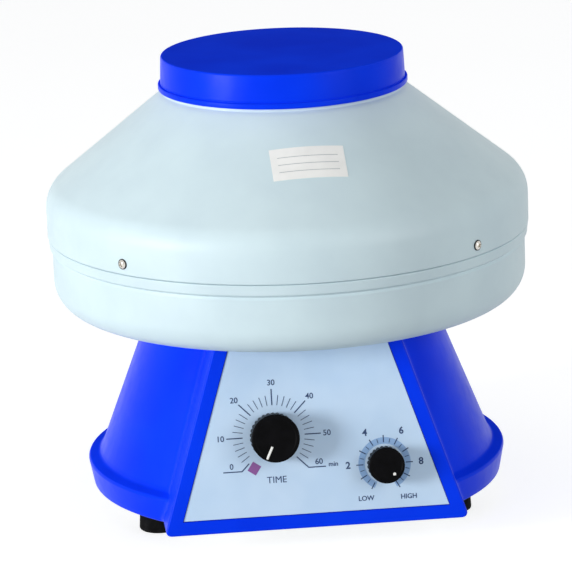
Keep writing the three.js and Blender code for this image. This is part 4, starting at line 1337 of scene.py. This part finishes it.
def cone_patch(half_width, top, bottom, low, high):
    """A thin sheet on the cone, as wide each way as its half width, from one lift to another."""
    middle = (top + bottom) / 2
    section = ((top, low), (middle, low), (bottom, low), (bottom, high), (middle, high), (top, high))
    rings = []
    for i in range(label_steps + 1):
        across = half_width * (2 * i / label_steps - 1)
        rings.append([cone_spot(across, down, lift) for down, lift in section])
    return lofted(rings)


label = cone_patch(label_half_width, *either_side(label_half_height), label_low, label_high)
seated(shape("blank_label", label), "base", finish=label_vinyl())
grey_ink = ink("screen_ink_grey", "#A9AEB2")
for name, down in zip(numbered("label_rule", len(rules_down)), rules_down):
    rule = cone_patch(rule_half_length, *either_side(rule_half_width, down), rule_low, rule_high)
    seated(shape(name, rule), "base", finish=grey_ink)


# Rotor head, sleeves and nut, which show when the lid is off

tube_count = 6
tube_circle = 52 * mm
tube_tilt = math.radians(40)
head_wall = 4 * mm
head_rim = 72 * mm
hub_radius = 16 * mm
hub_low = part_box("rotor_head")[0].z
hub_top = nut_low.z - fit
hub_clearance = 20 * mm
dish_inner_share = 0.6
guide_wall = 3 * mm
guide_length = 20 * mm
shaft_bore_radius = 4.3 * mm
sleeve_radius = 9.6 * mm
sleeve_wall = 0.9 * mm
sleeve_length = 98 * mm
sleeve_floor = 1.6 * mm
sleeve_end_round = 6 * mm
collar_radius = 12 * mm
collar_height = 2.5 * mm
collar_round = 1.1 * mm
seat_clearance = 0.5 * mm
seat_height = hub_top + 20 * mm


def sleeve_place(i):
    """The matrix of a sleeve: Z runs out of its mouth, and its collar sits just above the origin."""
    turn = turn_about("Z", 2 * math.pi * i / tube_count)
    return turn @ shift(tube_circle, 0, seat_height) @ turn_about("Y", -tube_tilt)


def dish_at(radius):
    """The height of the head's dish at a radius."""
    return seat_height + (radius - tube_circle) * math.tan(tube_tilt)


def rotor_head():
    across, down = head_wall * math.sin(tube_tilt), head_wall * math.cos(tube_tilt)
    inner = hub_radius * dish_inner_share
    head = turned_piece("rotor_head_machined", [
        (inner, dish_at(inner)),
        (head_rim, dish_at(head_rim), moulded),
        (head_rim + across, dish_at(head_rim) - down, moulded),
        (inner + across, dish_at(inner) - down),
    ], steps=4)
    guide_low = -head_wall - guide_length
    parts = [shape("hub", rod(hub_radius, hub_low, hub_top))]
    cutters = [
        shape("shaft_bore", rod(shaft_bore_radius, hub_low - overrun, hub_top + overrun)),
        shape("over_hub", rod(hub_radius, hub_top, hub_top + hub_clearance)),
    ]
    for i in range(tube_count):
        guide = rod(sleeve_radius + fit + guide_wall, guide_low, -head_wall / 2)
        seat = rod(collar_radius + seat_clearance, 0, head_wall + overrun)
        bore = rod(sleeve_radius + fit, guide_low - overrun, overrun)
        parts.append(shape("guide", placed(guide, sleeve_place(i))))
        cutters += [shape("cut", placed(form, sleeve_place(i))) for form in (seat, bore)]
    carved(head, "UNION", parts)
    return weighted(carved(head, "DIFFERENCE", cutters))


seated(rotor_head(), "rotor", "cast_aluminium", ["rotor_head"], finish=machined_aluminium())

sleeve_bore = sleeve_radius - sleeve_wall
sleeve_bottom = fit - sleeve_length
sleeve_outline = rounded([
    (0, sleeve_bottom),
    (sleeve_radius, sleeve_bottom, sleeve_end_round),
    (sleeve_radius, fit, trimmed),
    (collar_radius, fit, collar_round),
    (collar_radius, fit + collar_height, collar_round),
    (sleeve_bore, fit + collar_height, moulded),
    (sleeve_bore, sleeve_bottom + sleeve_floor, sleeve_end_round - sleeve_wall),
    (0, sleeve_bottom + sleeve_floor),
])
stainless = drawn_stainless()
for i, name in enumerate(numbered("sleeve", tube_count)):
    form = placed(turned(sleeve_outline, small_sides), sleeve_place(i))
    seated(shape(name, form), "rotor", "turned_steel", ["tube_" + name], finish=stainless)

nut_radius = (nut_high.x - nut_low.x) / 2
nut_height = nut_high.z - nut_low.z
nut_side_share, nut_bore_share, nut_crown_share = 0.62, 0.6, 0.62
nut_shoulder = nut_low.z + nut_height * nut_side_share
nut_bore_top = nut_low.z + nut_height * nut_bore_share
nut_fade = [nut_low.z + nut_height * share for share in (0.5, 0.56)]
nut_round = 1.2 * mm
nut_flutes = 24
fine_flute_depth = 0.5 * mm
nut = turned_piece("rotor_nut_knurled", [
    (0, nut_bore_top),
    (shaft_bore_radius, nut_bore_top, trimmed),
    (shaft_bore_radius, nut_low.z, trimmed),
    (nut_radius, nut_low.z, eased),
    (nut_radius, nut_shoulder, moulded),
    (nut_radius * nut_crown_share, nut_high.z, nut_round),
    (0, nut_high.z),
], sides=flute_sides * nut_flutes)
fluted(nut, nut_flutes, fine_flute_depth, nut_radius, nut_fade, "brass")
seated(nut, "rotor", "brass", ["rotor_nut"])


# Mains inlet and fuse holder on the rear pad

flange_border = 3 * mm
inlet_depth = 22 * mm
socket_depth = 16 * mm
socket_wall = 1.7 * mm
socket_corner = 5 * mm
pin_width, pin_depth, pin_length = 2 * mm, 4 * mm, 10 * mm
pin_spots = ((-7 * mm, 3 * mm), (0, -3 * mm), (7 * mm, 3 * mm))
inlet_top = fit + flange_thickness


def inlet():
    half_width = (inlet_high.x - inlet_low.x) / 2
    half_height = (inlet_high.z - inlet_low.z) / 2
    flange_sides = (either_side(half_width, inlet_across), either_side(half_height), (fit, inlet_top))
    made = shape("inlet_moulding", box(flange_sides, moulded))
    body_sides = (
        either_side(half_width - flange_border, inlet_across),
        either_side(half_height - flange_border),
        (-inlet_depth, fit + flange_thickness / 2),
    )
    carved(made, "UNION", [shape("body", box(body_sides, eased))])
    wide = half_width - flange_border - socket_wall
    tall = half_height - flange_border - socket_wall
    outline = rounded([(inlet_across + x, y, eased) for x, y in (
        (-wide, socket_corner - tall), (socket_corner - wide, -tall), (wide - socket_corner, -tall),
        (wide, socket_corner - tall), (wide, tall), (-wide, tall),
    )])
    socket = drawn(outline, inlet_top - socket_depth, inlet_top + overrun)
    carved(made, "DIFFERENCE", [shape("socket", socket)])
    made.data.transform(on_rear)
    return weighted(made)


seated(inlet(), "base", "inlet_plastic", ["mains_inlet"])
pins = bmesh.new()
pin_low = inlet_top - socket_depth - flange_thickness / 2
for x, y in pin_spots:
    pin_sides = (
        either_side(pin_width / 2, inlet_across + x),
        either_side(pin_depth / 2, y),
        (pin_low, pin_low + pin_length),
    )
    mesh = bpy.data.meshes.new("pin")
    box(pin_sides, trimmed).to_mesh(mesh)
    pins.from_mesh(mesh)
seated(shape("inlet_pins", placed(pins, on_rear)), "base", "chrome_screw")

fuse_radius = (fuse_high.x - fuse_low.x) / 2
fuse_cap_height = fuse_high.y - pad_reach - fit
fuse_top = fit + fuse_cap_height
fuse_body_radius = fuse_hole_radius - fit
fuse_body_length = 26 * mm
fuse_flutes = 16
fuse_chamfer = 1 * mm
fuse_fade = [fit + fuse_cap_height * share for share in (0.6, 0.9)]
slot_half_width, slot_half_length, slot_depth = 0.8 * mm, 5.5 * mm, 1 * mm
fuse = turned_piece("fuse_cap", [
    (0, -fuse_body_length),
    (fuse_body_radius, -fuse_body_length, eased),
    (fuse_body_radius, fit, trimmed),
    (fuse_radius, fit, trimmed),
    (fuse_radius, fit + fuse_cap_height / 2, trimmed),
    (fuse_radius - fuse_chamfer, fuse_top, moulded),
    (0, fuse_top),
], sides=flute_sides * fuse_flutes)
fluted(fuse, fuse_flutes, fine_flute_depth, fuse_radius, fuse_fade, "inlet_plastic")
slot_sides = (
    either_side(slot_half_width), either_side(slot_half_length), (fuse_top - slot_depth, fuse_top + overrun),
)
carved(fuse, "DIFFERENCE", [shape("slot", box(slot_sides))])
fuse.data.transform(on_rear @ shift(fuse_across))
seated(weighted(fuse), "base", "inlet_plastic", ["fuse_holder"])


# Floor, light and camera


def seen_directly(tree):
    """1 for what the camera sees, plain or in metal or glass, and 0 for the light on the object."""
    rays = add(tree, "ShaderNodeLightPath").outputs
    seen = {0: rays["Is Camera Ray"], 1: rays["Is Glossy Ray"]}
    seen = add(tree, "ShaderNodeMath", seen, operation="MAXIMUM")
    return add(tree, "ShaderNodeMath", {0: seen, 1: rays["Is Transmission Ray"]}, operation="MAXIMUM")


floor_glow = 0.72


def floor_finish():
    # Pale painted floor: white to the camera where nothing shades it, and a plain grey for the light.
    look = finish("pale_floor", "#BFC1C3", 0.9)
    mottled(look, 400 * mm, "#BEC0C2", "#C0C2C4")
    glow = {0: seen_directly(look.tree), 1: floor_glow}
    glow = add(look.tree, "ShaderNodeMath", glow, operation="MULTIPLY")
    glow = add(look.tree, "ShaderNodeEmission", {"Strength": glow})
    both = add(look.tree, "ShaderNodeAddShader", {0: look.shader, 1: glow})
    look.tree.links.new(both.outputs["Shader"], look.tree.nodes["Material Output"].inputs["Surface"])
    return look.material


floor_half, floor_depth = 4.0, 0.02
floor = shape("floor", box((either_side(floor_half), either_side(floor_half), (-floor_depth, 0))))
floor.data.materials.append(floor_finish())

sky_strength = 0.31
world = bpy.data.worlds.new("studio")
bpy.context.scene.world = world
world.use_nodes = True
backdrop = world.node_tree.nodes["Background"]
backdrop.inputs["Color"].default_value = (1, 1, 1, 1)
strength = {"Value": seen_directly(world.node_tree), "To Min": sky_strength, "To Max": 1.0}
strength = add(world.node_tree, "ShaderNodeMapRange", strength)
world.node_tree.links.new(strength.outputs["Result"], backdrop.inputs["Strength"])

# Each soft lamp: its place, width, height and power
lamps = {
    "key": ((-1.9, -1.0, 0.45), 0.5, 0.6, 37),
    "fill": ((1.5, -1.55, 0.85), 1.2, 1.2, 15),
    "top": ((-0.3, -0.2, 2.0), 1.4, 1.4, 4),
}
aim = Vector((0, 0, (cad_box[0].z + cad_box[1].z) / 2))
for name, (place, width, height, power) in lamps.items():
    lamp = bpy.data.lights.new(name, "AREA")
    lamp.shape = "RECTANGLE"
    lamp.size = width
    lamp.size_y = height
    lamp.energy = power
    made = linked(name, lamp)
    made.location = place
    made.rotation_euler = (aim - Vector(place)).to_track_quat("-Z", "Y").to_euler()

view_elevation = math.radians(14.96)
view_turn = math.radians(-5.3)
view_roll = math.radians(-2.15)
view_distance = 2.5
view_target = Vector((-3.0, 0, 149.4)) * mm
view_focal_pixels = 3620
image_long_side = 576
photo_camera = linked("photo_camera", bpy.data.cameras.new("photo_camera"))
photo_camera.data.sensor_width = 36
photo_camera.data.lens = photo_camera.data.sensor_width * view_focal_pixels / image_long_side
photo_camera.matrix_world = (
    turn_about("Z", view_turn)
    @ shift(*view_target)
    @ turn_about("X", math.pi / 2 - view_elevation)
    @ shift(z=view_distance)
    @ turn_about("Z", view_roll)
)
bpy.context.scene.camera = photo_camera
bpy.context.scene.view_settings.view_transform = "Standard"
